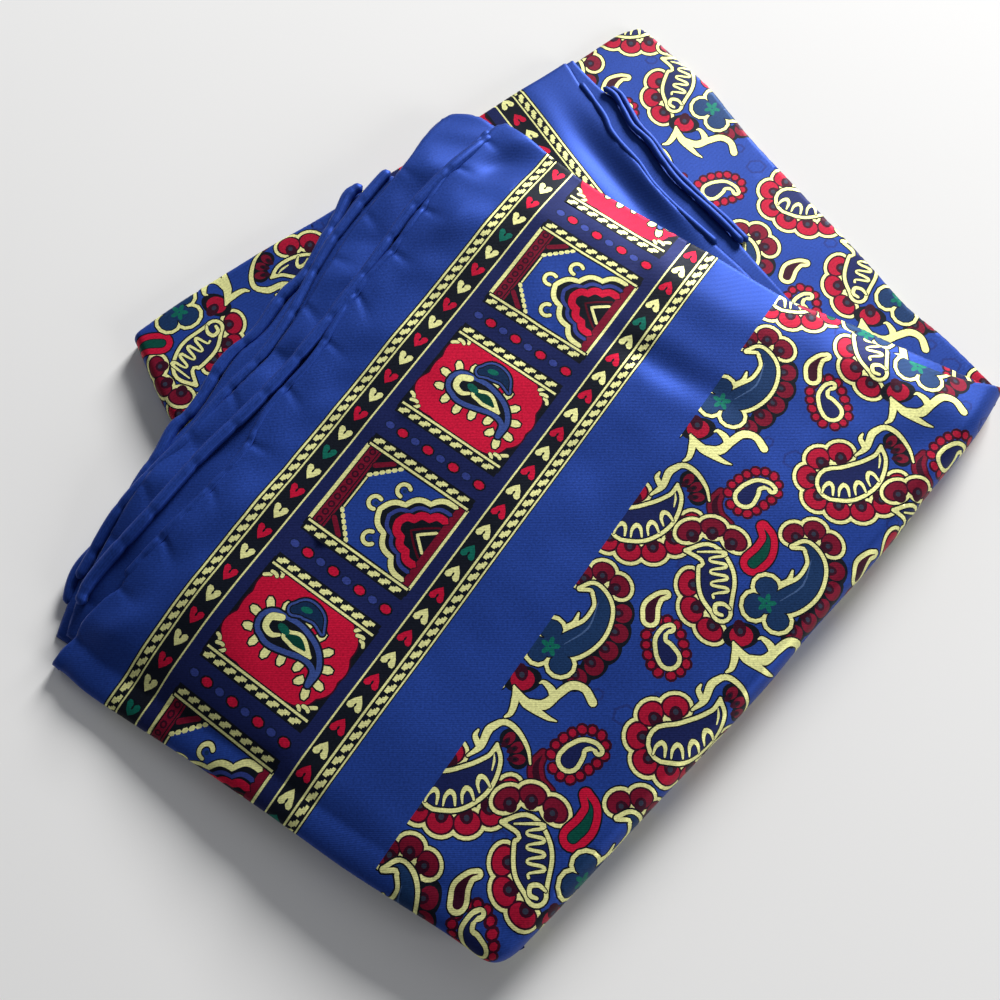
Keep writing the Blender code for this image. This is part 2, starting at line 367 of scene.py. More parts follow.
class Spot:
    """A place on a print where one motif is drawn round its own middle."""

    def __init__(self, sheet_print, centre, turn=0.0, size=1.0, in_field=False):
        self.sheet_print = sheet_print
        self.centre = np.array(centre, float)
        self.turn = turn
        self.size = size
        self.in_field = in_field

    def lay(self, outline, colour):
        placed = turned(outline, self.turn) * self.size + self.centre
        self.sheet_print.lay(placed, colour, self.in_field)

    def edged(self, outlines, layers):
        """Shapes that run into each other, with the same rings round them all."""
        for distance, colour in layers:
            for outline in outlines:
                self.lay(grown(outline, distance), colour)

    def strokes(self, lines, colour=CREAM, steps=5, ink=0.35):
        """Drawn lines that run into each other, with dark edges round them all."""
        drawn = []
        for knots, widths in lines:
            curve = smooth_line(knots, steps)
            share = np.linspace(0, 1, len(curve))
            drawn.append((curve, np.interp(share, np.linspace(0, 1, len(widths)), widths)))
        for curve, widths in drawn:
            self.lay(ribbon(curve, widths + 2 * ink), INK)
        for curve, widths in drawn:
            self.lay(ribbon(curve, widths), colour)

    def line(self, knots, widths, colour=CREAM, steps=5, ink=0.35):
        self.strokes([(knots, np.atleast_1d(widths))], colour, steps, ink)

    def petals(self, line, count, depth, colour=None, edge=CREAM, heart=SMOKE):
        """Broad petals along a line, with one scalloped edge and a heart in each.

        The line runs so that the petals stand round what is on its left.
        """
        colour = PETAL_RED if colour is None else colour
        course = resampled(smooth_line(line, 5), 2 * count + 1)
        ways = sides_of(course)[1::2]
        middles = course[1::2]
        angles = np.degrees(np.arctan2(ways[:, 1], ways[:, 0]))
        half = np.linalg.norm(np.diff(course, axis=0), axis=1).sum() / count / 2
        rings = [(0.35, INK)]
        if edge is not None:
            rings += [(0.0, edge), (-0.85, INK_RED)]
        for grow, ring in rings:
            for middle, angle in zip(middles, angles):
                self.lay(oval(middle, depth + grow, half * 1.4 + grow, angle, 20), ring)
        body = depth - (1.25 if edge is not None else 0.3)
        for middle, angle in zip(middles, angles):
            self.lay(oval(middle, body, half - 0.15, angle, 16), colour)
        for middle, way, angle in zip(middles, ways, angles):
            self.lay(oval(middle + way * body * 0.72, body * 0.85, half * 0.52, angle, 12), INK_RED)
            self.lay(oval(middle + way * body * 0.45, body * 0.30, half * 0.22, angle, 8), heart)


# ------------------------------------------------------------ the field motifs
def scalloped_paisley(spot):
    """A teardrop with teeth inside it, in a ring of petals, with a leafy horn."""
    spot.petals(
        ((2.4, 7.0), (-4.8, 6.6), (-9.4, 1.8), (-9.0, -4.4),
         (-3.0, -8.0), (5.2, -8.0), (11.0, -4.4), (13.8, 1.4)),
        8, 3.7,
    )
    spot.petals(((14.8, 4.2), (14.6, 8.2), (11.8, 11.2)), 3, 2.0, DARK_RED, None, INK)
    spot.strokes((
        (((8.6, 12.2), (11.5, 14.0), (14.6, 12.2), (17.0, 8.2), (17.6, 4.6)), (0.8, 1.4, 1.2, 0.9, 0.5)),
        (((3.2, 6.4), (6.2, 8.6), (8.0, 12.2), (10.6, 14.0)), (0.6, 1.6, 1.9, 1.2)),
        (((5.8, 8.6), (4.9, 10.8), (5.6, 12.2)), (1.5, 1.2, 0.5)),
    ))
    drop = leaf(
        ((-3.2, -1.3), (0.8, -1.0), (5.6, 1.4), (9.1, 5.3), (10.0, 9.0)),
        (9.4, 9.8, 8.4, 4.6, 0.8),
    )
    spot.edged([drop], CREAM_ROUND_NAVY)
    for x, y, angle in ((-4.6, -2.7, 25), (-0.7, -3.2, 5), (3.3, -2.4, -18), (6.8, 0.2, -38)):
        tooth = turned(((-1.5, -1.4), (-1.2, 0.5), (-0.1, 1.7), (0.9, 0.9), (1.2, -1.2)), -angle * 0.6)
        spot.line(tooth + np.array((x, y)), (0.4, 0.8, 1.2, 0.9, 0.5), ink=0.2, steps=3)
    spot.line(((8.8, 3.2), (9.3, 5.2), (9.3, 6.8)), (0.3, 0.6, 0.2), ink=0.1, steps=3)


def red_crescent(spot):
    """A dark red bean beside a paisley."""
    bean = leaf(((0.0, 4.2), (-1.7, 1.4), (-1.2, -1.8), (1.6, -4.0)), (2.0, 3.4, 3.4, 1.8))
    spot.edged([bean], ((0.4, INK_RED), (0.0, DARK_RED), (-1.0, INK_RED)))


def crescent_body(spot):
    """A three-lobed bud that runs out into a curling horn."""
    bud = [
        oval((0.3, 4.0), 3.9, 3.6), oval((-2.9, -0.6), 3.8, 4.2),
        oval((2.4, -4.2), 3.9, 3.6), oval((0.2, 1.0), 3.2, 3.2),
    ]
    horn = leaf(
        ((0.0, -0.4), (5.6, 0.9), (10.6, 4.2), (13.0, 9.6), (11.0, 14.2), (7.4, 14.0)),
        (6.6, 8.4, 7.4, 5.6, 3.4, 1.4),
    )
    spur = leaf(((3.4, 4.2), (5.8, 5.4), (7.0, 8.0)), (1.8, 1.5, 0.5))
    spot.edged(bud + [horn, spur], CREAM_ROUND_TEAL[:2])
    spot.edged(bud + [horn], CREAM_ROUND_TEAL[2:])
    for angle in range(0, 360, 72):
        spot.lay(oval(turned(((1.3, 0.0),), angle)[0], 1.2, 0.65, angle, 7), GREEN)
    vein = ((3.4, 0.6), (9.2, 4.4), (11.8, 10.6))
    spot.line(vein, (0.2, 0.5, 0.2), VEIN_BLUE, ink=0.0, steps=3)


def toothed_leaf(spot):
    """A leaf that leans over, with a comb of small loops down one side."""
    body = leaf(
        ((-11.0, -2.2), (-11.8, 2.6), (-11.8, 7.6), (-13.4, 12.2), (-18.6, 13.2)),
        (5.4, 9.0, 9.4, 6.4, 1.2),
    )
    spot.edged([body], CREAM_ROUND_NAVY)
    wave = [(-15.8, 12.8)]
    for y in (12.7, 9.7, 6.7, 3.7):
        wave += [(-9.6, y), (-9.3, y - 0.9), (-12.6, y - 1.4), (-12.7, y - 2.3)]
    spot.line(wave, (0.4,) + (0.8, 0.8, 0.5, 0.7) * 4, ink=0.25, steps=3)
    spot.line(
        ((-8.9, -1.4), (-10.4, -0.2), (-12.3, -0.4), (-12.4, -2.2), (-10.9, -2.9)),
        (0.6, 1.0, 1.1, 1.0, 0.8), ink=0.25, steps=4,
    )


def leafy_scroll(spot):
    """A thick and thin curl with side leaves, ending in a round drop."""
    spot.strokes((
        (((-8.6, -9.3), (-8.4, -12.4), (-9.4, -15.4), (-10.8, -16.4)), (0.5, 1.8, 1.3, 0.5)),
        (((-8.6, -9.6), (-5.8, -13.2), (-1.2, -16.4), (1.2, -17.4)), (0.8, 2.3, 1.2, 0.3)),
        (
            ((-5.4, -13.0), (-1.6, -13.6), (1.4, -11.4), (4.8, -9.2), (8.0, -10.0), (9.8, -13.2)),
            (1.4, 2.4, 2.0, 2.0, 1.8, 2.0),
        ),
        (((0.6, -12.4), (0.2, -10.2), (-1.6, -8.4), (-2.6, -8.6)), (1.8, 1.8, 1.0, 0.3)),
    ))


def paisley_pair(spot):
    """Two paisleys back to back with a bud, petals and a scroll below them."""
    spot.petals(((-17.2, 8.0), (-18.8, 2.6), (-17.0, -3.8), (-11.4, -8.2)), 3, 3.6)
    spot.petals(((-4.4, 13.4), (-9.0, 18.0), (-15.2, 19.2), (-20.0, 16.4)), 3, 3.4, DARK_RED)
    spot.petals(((4.2, -8.8), (9.4, -5.4), (13.8, -1.2), (17.0, 4.4), (17.8, 10.4)), 5, 2.6, DARK_RED, None)
    spot.petals(((18.2, 12.0), (15.6, 17.2), (10.0, 18.4), (5.8, 15.6)), 3, 3.4, DARK_RED)
    spot.petals(((-9.6, -8.2), (-3.6, -7.4)), 1, 2.8, None, None)
    bud = leaf(((-2.6, 9.8), (0.2, 12.4), (1.6, 16.0), (0.6, 19.0)), (6.2, 6.0, 4.6, 3.2))
    spot.edged([bud], ((0.4, INK), (0.0, RED), (-1.65, INK), (-1.9, GREEN * 0.5)))
    toothed_leaf(spot)
    crescent_body(spot)
    leafy_scroll(spot)


def ringed_drop(spot):
    """A small teardrop with a thick round head, in a ring of red dots."""
    ring = resampled(smooth_line(((0.0, -8.2), (4.8, -5.6), (5.0, 0.6), (3.6, 6.4), (-1.2, 8.2),
                                  (-5.2, 4.6), (-5.7, -1.6), (-4.2, -6.2)), 5, closed=True), 16)[:-1]
    for place in ring:
        spot.lay(oval(place, 1.9, 1.9, points=10), INK_RED)
    for i, place in enumerate(ring):
        spot.lay(oval(place, 1.4 - 0.3 * (i % 2), 1.15, 40 * i, 7), PETAL_RED)
    drop = leaf(((0.2, -3.2), (-0.8, -0.6), (-1.4, 2.4), (0.2, 5.0), (2.0, 5.4)), (7.4, 6.6, 4.4, 3.0, 3.2))
    spot.edged([drop], ((0.35, INK), (0.0, CREAM), (-1.25, INK), (-1.5, NAVY)))


def small_bud(spot):
    """A short drop with a red heart, between the larger motifs."""
    bud = leaf(((-1.4, -2.8), (-1.0, 0.0), (1.0, 2.4), (2.8, 3.0)), (4.6, 4.6, 3.0, 2.4))
    spot.edged([bud], ((0.35, INK), (0.0, CREAM), (-1.1, INK_RED)))


def ghost_shapes(spot):
    """Faint darker loops on the blue ground."""
    for x, y, reach in ((0.0, 0.0, 3.2), (7.6, 3.4, 2.4), (-6.4, 4.6, 2.2)):
        loop = oval((x, y), reach, reach * 0.8, 20, 6)
        spot.lay(loop, GHOST)
        spot.lay(grown(loop, -0.7), BLUE)


DRAWN_ANGLE = 54.4  # how the border runs where the motifs stand as they are drawn
DROP_SIZE = 0.82
MOTIF_REACH = 20.0
FIELD_PITCH = (39.6, 39.6)  # from one motif to the next, along and across


def field_print(sheet_print, origin, angle, seen, pitch=FIELD_PITCH, fine=True):
    """Draws the field's motifs where they touch the seen part of a sheet.

    Pairs and single paisleys take turns both ways. angle is the way that the
    border runs, in degrees from X.
    """
    turn = angle - DRAWN_ANGLE
    along = turned(((1.0, 0.0),), angle)[0]
    across = turned(((0.0, -1.0),), angle)[0]
    repeats = []
    for i in range(-9, 10):
        for j in range(-9, 10):
            middle = np.array(origin) + along * pitch[0] * i + across * pitch[1] * j
            repeats.append((middle, (i + j) % 2 == 0))
    reach = grown(seen, MOTIF_REACH)

    def near(place):
        return inside(np.array((place,)), reach)[0]

    def spot(middle, x=0.0, y=0.0, lean=0.0, size=1.0):
        """The place of a motif that stands x and y from the middle of a repeat."""
        place = middle + turned(((x, y),), turn)[0]
        return Spot(sheet_print, place, turn + lean, size, in_field=True)

    for middle, _ in repeats:
        ghosts = spot(middle, 17.0, -16.0)
        if fine and near(ghosts.centre):
            ghost_shapes(ghosts)
    for middle, paired in repeats:
        if paired or not near(middle):
            continue
        red_crescent(spot(middle, 20.6, 2.6))
        scalloped_paisley(spot(middle))
        ringed_drop(spot(middle, -2.0, 21.0, 6.0, DROP_SIZE))
        if fine:
            ringed_drop(spot(middle, -23.5, -3.5, -62.0, DROP_SIZE))
    for middle, paired in repeats:
        if paired and near(middle):
            small_bud(spot(middle, 25.5, 9.5))
            paisley_pair(spot(middle))


# ----------------------------------------------------------- the border's print
class Border:
    """The printed border beside a hem: a is in from the hem, b along it."""

    def __init__(self, sheet_print, origin, angle, start, end):
        self.sheet_print = sheet_print
        self.origin = np.array(origin, float)
        self.along = turned(((1.0, 0.0),), angle)[0]
        self.across = turned(((0.0, -1.0),), angle)[0]
        self.start = start
        self.end = end

    def lay(self, outline, colour):
        outline = np.asarray(outline, float)
        placed = self.origin + outline[:, :1] * self.across + outline[:, 1:] * self.along
        self.sheet_print.lay(placed, colour)

    def stripe(self, a, width, colour):
        rows = np.linspace(self.start, self.end, 50)
        left = np.stack((np.full(50, a), rows), axis=1)
        self.lay(np.concatenate((left, (left + (width, 0.0))[::-1])), colour)

    def block(self, a, b, width, length, colour):
        corners = np.array(((0, 0), (width, 0), (width, length), (0, length)))
        self.lay(corners + (a, b), colour)

    def line(self, knots, width, colour=CREAM, steps=5, ink=0.3):
        curve = smooth_line(knots, steps)
        self.lay(ribbon(curve, width + 2 * ink), INK)
        self.lay(ribbon(curve, width), colour)


CHAIN_LINK = np.array((
    (-1.0, 0.2), (0.15, 0.2), (0.15, 0.75), (0.45, 0.75), (0.45, 1.3), (1.0, 1.3),
    (1.0, 3.0), (0.1, 3.0), (0.1, 2.4), (-0.3, 2.4), (-0.3, 1.85), (-1.0, 1.85),
))
CHAIN_PITCH = 3.3
HEART = np.array((
    (0.0, -2.3), (1.35, -0.7), (2.15, 0.9), (1.95, 1.8), (1.1, 2.0), (0.4, 1.5),
    (0.0, 0.7), (-0.4, 1.5), (-1.1, 2.0), (-1.95, 1.8), (-2.15, 0.9), (-1.35, -0.7),
))
HEART_SIZE = 0.9
TILE_PITCH = 38.4
HEART_PITCH = TILE_PITCH / 6
HEARTS_FROM = 4.0
TILE_HALF = 14.65  # half a tile along the border
TILE_FROM = 28.2  # the tiles lie between these, in from the hem
TILE_TO = 60.2
SEPARATOR_HALF = 5.2


def chain_stripe(border, a):
    """A dark stripe between two cream lines, with a chain of cream steps."""
    border.stripe(a - 0.35, 4.3, INK)
    border.stripe(a, 0.55, CREAM)
    border.stripe(a + 3.25, 0.42, CREAM)
    for i in range(int((border.end - border.start) / CHAIN_PITCH)):
        border.lay(CHAIN_LINK * (0.9, 1.0) + (a + 1.9, border.start + i * CHAIN_PITCH), CREAM)


def heart_row(border, a, points_up):
    """Hearts in cream and red by turns, with a green one at each arch."""
    first = int(np.floor(border.start / HEART_PITCH))
    last = int(np.ceil(border.end / HEART_PITCH))
    flip = -1.0 if points_up else 1.0
    for i in range(first, last):
        b = HEARTS_FROM + i * HEART_PITCH
        if not border.start + 2 < b < border.end - 2:
            continue
        place = i % 12
        colour = GREEN if place == 6 else (RED if i % 2 == 0 else CREAM)
        heart = HEART * HEART_SIZE * (1.0, flip)
        border.lay(grown(heart, 0.3) + (a, b), INK)
        border.lay(heart + (a, b), colour)
        border.lay(oval((a, b + flip * 0.5), 0.3, 0.6, 0, 6), INK)


def rung(border, b, side):
    """The bar across the tiles: a chain with a thin line on the tile's side."""
    width = TILE_TO - TILE_FROM - 1.2
    border.block(TILE_FROM + 0.3, b - 1.4 - 0.9 * (side < 0), width + 0.6, 3.7, INK)
    link = CHAIN_LINK[:, ::-1] * (1.0, 0.85)
    for i in range(int(width / CHAIN_PITCH)):
        border.lay(link + (TILE_FROM + 0.8 + i * CHAIN_PITCH, b), CREAM)
    border.block(TILE_FROM + 0.6, b + side * 1.65 - 0.3, width, 0.6, CREAM)


def separator(border, b):
    """The navy band between two tiles, with red and blue dots."""
    border.block(TILE_FROM, b - SEPARATOR_HALF, TILE_TO - TILE_FROM, 2 * SEPARATOR_HALF, NAVY)
    for i in range(8):
        a = TILE_FROM + 1.9 + i * 4.0
        size = 1.0 if i % 2 else 0.85
        border.lay(oval((a, b), 1.9 * size, 1.5 * size, 0, 10), INK if i % 2 else DEEP_NAVY)
        border.lay(oval((a, b), 1.45 * size, 1.1 * size, 0, 8), RED if i % 2 else DOT_BLUE)


def corner_flames(border, a, b, across, up):
    """Three cream flames in a tile's corner."""
    for x, y, dx, dy in ((0.3, 3.6, 1.3, -0.9), (1.4, 1.9, 1.7, 0.3), (3.2, 0.4, 0.9, 1.1)):
        start = np.array((a + across * x, b + up * y))
        end = start + (across * dx, up * dy)
        border.line(np.array((start, (start + end) / 2 + (0.2, 0.2), end)), 0.9, ink=0.2, steps=2)


FLAME = np.array(((-0.9, -1.4), (-0.95, 0.1), (-0.3, 1.1), (0.5, 1.0), (0.95, 0.0), (0.9, -1.4)))


def flames_round(outline):
    """Even places round an outline, each with the angle that stands a flame up."""
    ring = grown(outline, 1.8)
    ring = resampled(np.concatenate((ring, ring[:1])), 17)[:-1]
    ways = -sides_of(ring)
    return [(place, np.degrees(np.arctan2(way[1], way[0])) - 90.0) for place, way in zip(ring, ways)]


def red_tile(border, b):
    """A red tile with a wavy edge and a paisley among small flames."""
    middle = (TILE_FROM + TILE_TO) / 2
    border.block(TILE_FROM, b - TILE_HALF, TILE_TO - TILE_FROM, 2 * TILE_HALF, INK)
    turn = np.linspace(0.0, 2 * np.pi, 120, endpoint=False)
    square = 1.0 / (np.abs(np.cos(turn)) ** 3.6 + np.abs(np.sin(turn)) ** 3.6) ** (1 / 3.6)
    wave = 0.98 + 0.05 * np.abs(np.sin(turn * 6.5 + 0.6)) + 0.035 * np.sin(turn * 5 + 2.0)
    ground = np.stack((15.1 * np.cos(turn), 12.2 * np.sin(turn)), axis=1) * (square * wave)[:, None]
    border.lay(grown(ground, 0.4) + (middle, b), INK_RED)
    border.lay(ground + (middle, b), RED)
    for across in (-1, 1):
        for up in (-1, 1):
            corner_flames(border, middle - across * 15.4, b - up * 12.4, across, up)
    spot = Spot(border.sheet_print, border.origin + border.across * middle + border.along * b)
    bulb = leaf(
        ((-4.6, 3.6), (-3.0, 2.2), (0.8, 0.2), (4.8, -3.0), (6.4, -7.0), (4.8, -10.6)),
        (8.2, 9.0, 8.4, 5.6, 2.8, 1.4),
    )
    for place, way in flames_round(bulb):
        flame = turned(FLAME, way) + place
        spot.lay(grown(flame, 0.45), INK)
        spot.lay(flame, CREAM)
    spot.edged([bulb], ((0.5, INK), (0.0, BULB_BLUE), (-1.25, INK)))
    spot.line(
        ((-2.2, 5.4), (-4.8, 5.6), (-6.0, 3.4), (-4.6, 1.4), (-2.6, 1.2)),
        (1.7, 1.9, 1.6, 1.3, 0.8), ink=0.1,
    )
    tail = leaf(((-0.6, 1.0), (2.0, -0.6), (5.0, -4.2)), (3.0, 4.2, 0.8))
    spot.edged([tail], ((0.2, INK), (0.0, CREAM), (-0.9, GREEN * 0.35)))
    spot.lay(oval((-1.6, 2.6), 1.9, 1.0, -45, 9), GREEN * 0.7)
    second = leaf(((0.6, 7.4), (3.4, 7.4), (6.4, 5.2), (7.6, 1.6)), (3.6, 5.2, 4.0, 1.4))
    spot.edged([second], ((0.45, INK), (0.0, BULB_BLUE), (-0.55, INK), (-0.85, TEAL * 0.7)))
    spot.lay(oval((3.6, 7.2), 1.6, 0.8, -20, 8), GREEN)


def arch_tile(border, b):
    """A blue tile with a scalloped arch whose top is on the hem's side."""
    middle = (TILE_FROM + TILE_TO) / 2
    centre = (middle, b)
    foot = 12.7
    border.block(TILE_FROM, b - TILE_HALF, TILE_TO - TILE_FROM, 2 * TILE_HALF, INK)
    border.block(middle - 15.9, b - 12.0, 1.0, 24.0, CREAM)
    border.block(middle - 14.6, b - 12.0, 2.6, 24.0, DARK_RED)
    for i in range(10):
        border.lay(oval((middle - 13.3, b - 10.8 + i * 2.4), 0.95, 0.95, 0, 8), INK_RED)
        border.lay(oval((middle - 13.3, b - 10.8 + i * 2.4), 0.5, 0.5, 0, 6), DARK_RED)
    border.block(middle - 11.7, b - 12.0, 0.5, 24.0, DARK_RED)
    border.block(middle + 13.0, b - 12.0, 2.0, 24.0, DARK_RED)
    border.block(middle + 15.2, b - 12.2, 0.7, 24.4, CREAM)
    ground = np.array((
        (-10.2, -5.2), (-10.2, 5.2), (-4.4, 11.5), (foot, 11.7), (foot, -11.7), (-4.4, -11.5),
    ))
    border.lay(ground + centre, BLUE)
    border.line(np.array(((-10.4, -4.6), (-10.4, 4.6))) + centre, 0.45, steps=1)
    for up in (-1.0, 1.0):
        border.line(np.array(((-10.6, 8.3 * up), (-6.8, 11.4 * up))) + centre, 1.3, DARK_RED, steps=1)
        for share in np.linspace(0.0, 1.0, 6):
            knot = np.array((-10.2 + 5.6 * share, (5.6 + 5.6 * share) * up))
            border.lay(oval(knot + centre, 0.85, 0.6, 45.0 * up, 6), CREAM)

    def arch(tip, reach, belly, wave, lobes):
        """The line of a pointed arch with scalloped sides, from foot to foot."""
        t = np.linspace(0.0, 1.0, 9 * lobes + 1)
        bow = belly * np.sin(np.pi * t) + wave * np.abs(np.sin(np.pi * lobes * t))
        out = unit(np.array((-reach, foot - tip)))
        right = np.array((tip, 0.0)) + t[:, None] * (foot - tip, reach) + bow[:, None] * out
        left = right[::-1] * (1.0, -1.0)
        return np.concatenate((left[:-1], right)) + centre

    border.lay(arch(-2.6, 11.2, 1.0, 1.1, 3), INK)
    for curl_a, curl_b, opening in ((-4.6, 0.6, 0.0), (-0.6, 7.2, -20.0), (-0.2, -7.4, 35.0)):
        turn = np.radians(np.linspace(65.0, 295.0, 9) + opening)
        curl = np.stack((np.cos(turn), np.sin(turn)), axis=1) * 1.7 + (middle + curl_a, b + curl_b)
        border.line(curl, 1.0, steps=2)
        border.lay(oval((middle + curl_a + 0.3, b + curl_b), 0.6, 0.6, 0, 6), TEAL)
    for tip, reach, belly, wave, width, colour in (
        (-2.6, 11.2, 1.0, 1.1, 1.35, CREAM),
        (0.2, 8.8, 0.9, 0.9, 1.0, DOT_BLUE),
        (3.2, 6.7, 0.7, 0.8, 2.0, RED),
    ):
        line = arch(tip, reach, belly, wave, 3)
        border.lay(ribbon(line, width + 0.6, 1), INK)
        border.lay(ribbon(line, width, 1), colour)
    border.lay(ribbon(arch(7.0, 4.6, 0.2, 0.0, 1), 0.55, 1), DARK_RED * 0.5)
    border.lay(ribbon(arch(9.0, 3.1, 0.0, 0.0, 1), 0.75, 1), CREAM)


def border_print(border):
    """The whole border, from the hem's side to the field's."""
    chain_stripe(border, 15.3)
    border.stripe(18.95, 5.7, INK * 1.2)
    border.stripe(18.5, 0.4, CREAM)
    heart_row(border, 21.8, False)
    border.stripe(24.6, 0.45, CREAM)
    border.stripe(25.05, TILE_FROM - 25.05, NAVY)
    border.stripe(TILE_FROM, TILE_TO - TILE_FROM, NAVY)
    border.stripe(TILE_TO, 3.2, NAVY)
    border.stripe(63.4, 0.45, CREAM)
    border.stripe(63.85, 5.0, INK * 1.2)
    heart_row(border, 66.3, True)
    chain_stripe(border, 68.8)
    first = int(np.floor(border.start / TILE_PITCH)) - 1
    last = int(np.ceil(border.end / TILE_PITCH)) + 2
    for i in range(first, last):
        b = i * TILE_PITCH
        if b - 26 > border.end or b + 26 < border.start:
            continue
        if i % 2 == 0:
            red_tile(border, b)
        else:
            arch_tile(border, b)
    for i in range(first, last):
        b = (i + 0.5) * TILE_PITCH
        if b - 8 > border.end or b + 8 < border.start:
            continue
        separator(border, b)
        rung(border, b - SEPARATOR_HALF, -1)
        rung(border, b + SEPARATOR_HALF, 1)


# ---------------------------------------------------------------- laying cloth
class Edge:
    """An edge of a sheet: its course on the plan, and how round it turns over."""

    def __init__(self, course, radius, depth, run=None):
        self.course = smooth_line(course, 8)
        self.start = self.course[0]
        self.end = self.course[-1]
        self.out = left_of(self.start, self.end)
        self.radius = radius
        self.depth = depth
        self.run = run if run is not None else np.pi * np.hypot(radius, depth) / np.sqrt(2)
        self.shares = share_along(self.course, self.start, self.end)
        self.offsets = outside(self.course, self.start, self.end)

    def beyond(self, points):
        """How far points lie past the line where the silk starts to turn over."""
        share = share_along(points, self.start, self.end)
        offset = np.interp(share, self.shares, self.offsets)
        return outside(points, self.start, self.end) - offset + self.radius


def sheet_points(outline, wide, fine_where):
    """Even points inside an outline: wide apart, or close where asked."""
    low, high = outline.min(axis=0), outline.max(axis=0)
    close = wide / 3.0
    xs = np.arange(low[0], high[0], close)
    ys = np.arange(low[1], high[1], close)
    grid = np.stack(np.meshgrid(xs, ys, indexing="ij"), axis=-1)
    i, j = np.meshgrid(np.arange(len(xs)), np.arange(len(ys)), indexing="ij")
    grid[..., 0] += (j % 2) * close * 0.5
    flat = grid.reshape(-1, 2)
    kept = ((i % 3 == 0) & (j % 3 == 0)).reshape(-1) | fine_where(flat)
    flat = flat[kept]
    return flat[inside(flat, outline)]


def triangles_of(outline, points, edges):
    """Flat triangles through points and along edges, inside an outline."""
    count = len(outline)
    rim = [(i, (i + 1) % count) for i in range(count)]
    everything = [Vector(p) for p in np.concatenate((outline, points))]
    made = delaunay_2d_cdt(everything, rim + [(a + count, b + count) for a, b in edges], [], 0, 1e-4)
    flat = np.array([tuple(v) for v in made[0]])
    faces = np.array(made[2])
    faces = faces[inside(flat[faces].mean(axis=1), outline)]
    return flat, faces[np.argsort(flat[faces, 0].mean(axis=1))]


def dyes_at(middles, shapes, field):
    """The dye at places that are sorted by X: each shape goes over those before."""
    dyes = np.tile(BLUE, (len(middles), 1))
    in_field = np.ones(len(middles), bool) if field is None else inside(middles, field)
    for shape, colour, only_field in shapes:
        low, high = shape.min(axis=0), shape.max(axis=0)
        first, last = np.searchsorted(middles[:, 0], (low[0], high[0]))
        rows = np.arange(first, last)
        rows = rows[(middles[rows, 1] > low[1]) & (middles[rows, 1] < high[1])]
        if only_field:
            rows = rows[in_field[rows]]
        if len(rows):
            dyes[rows[inside(middles[rows], shape)]] = colour
    return dyes


def dye_lines(faces, dyes):
    """The edges between two triangles of different dyes."""
    kinds = np.unique(dyes, axis=0, return_inverse=True)[1].reshape(-1)
    pairs = np.sort(np.concatenate((faces[:, (0, 1)], faces[:, (1, 2)], faces[:, (2, 0)])), axis=1)
    kinds = np.tile(kinds, 3)
    order = np.lexsort((pairs[:, 1], pairs[:, 0]))
    pairs, kinds = pairs[order], kinds[order]
    shared = (pairs[1:] == pairs[:-1]).all(axis=1) & (kinds[1:] != kinds[:-1])
    return pairs[1:][shared]


CELL = 0.4  # an even point this near to a line's corner is left out, in millimetres


def cut_mesh(outline, sheet_print, grid):
    """Flat triangles for the sheet, and the dye of each, from the drawing.

    The drawn shapes are cut against each other first. Only the lines where the
    dye changes then go into the mesh, with the even points.
    """
    low, high = outline.min(axis=0), outline.max(axis=0)
    shapes = []
    for shape, colour, in_field in sheet_print.shapes:
        if (shape.max(axis=0) > low).all() and (shape.min(axis=0) < high).all():
            shapes.append((shape, colour, in_field))
    field = sheet_print.field
    drawn = [shape for shape, _, _ in shapes] + ([] if field is None else [field])
    lines = np.zeros((0, 2))
    pairs = []
    if drawn:
        edges = []
        total = 0
        for shape in drawn:
            edges += [(total + i, total + (i + 1) % len(shape)) for i in range(len(shape))]
            total += len(shape)
        flat, faces = triangles_of(outline, np.concatenate(drawn), edges)
        pairs = dye_lines(faces, dyes_at(flat[faces].mean(axis=1), shapes, field))
        used, pairs = np.unique(pairs, return_inverse=True)
        lines, pairs = flat[used], pairs.reshape(-1, 2)
        taken = {tuple(cell) for cell in np.floor(lines / CELL).astype(int)}
        grid = grid[[tuple(cell) not in taken for cell in np.floor(grid / CELL).astype(int)]]
    flat, faces = triangles_of(outline, np.concatenate((lines, grid)), pairs)
    return flat, faces, dyes_at(flat[faces].mean(axis=1), shapes, field)


CLOTH_MAP = "OFBake"  # the flat cloth's own map
CLOTH_MAP_SIZE = 400.0  # millimetres of cloth across the whole map


def cloth_map(data, flat, faces, rib_angle):
    """The cloth's flat coordinates, turned so that the twill runs along U."""
    spread = turned(flat - flat.mean(axis=0), -rib_angle) / CLOTH_MAP_SIZE + 0.5
    uv = data.uv_layers.new(name=CLOTH_MAP)
    uv.data.foreach_set("uv", spread[faces.ravel()].astype(np.float32).ravel())


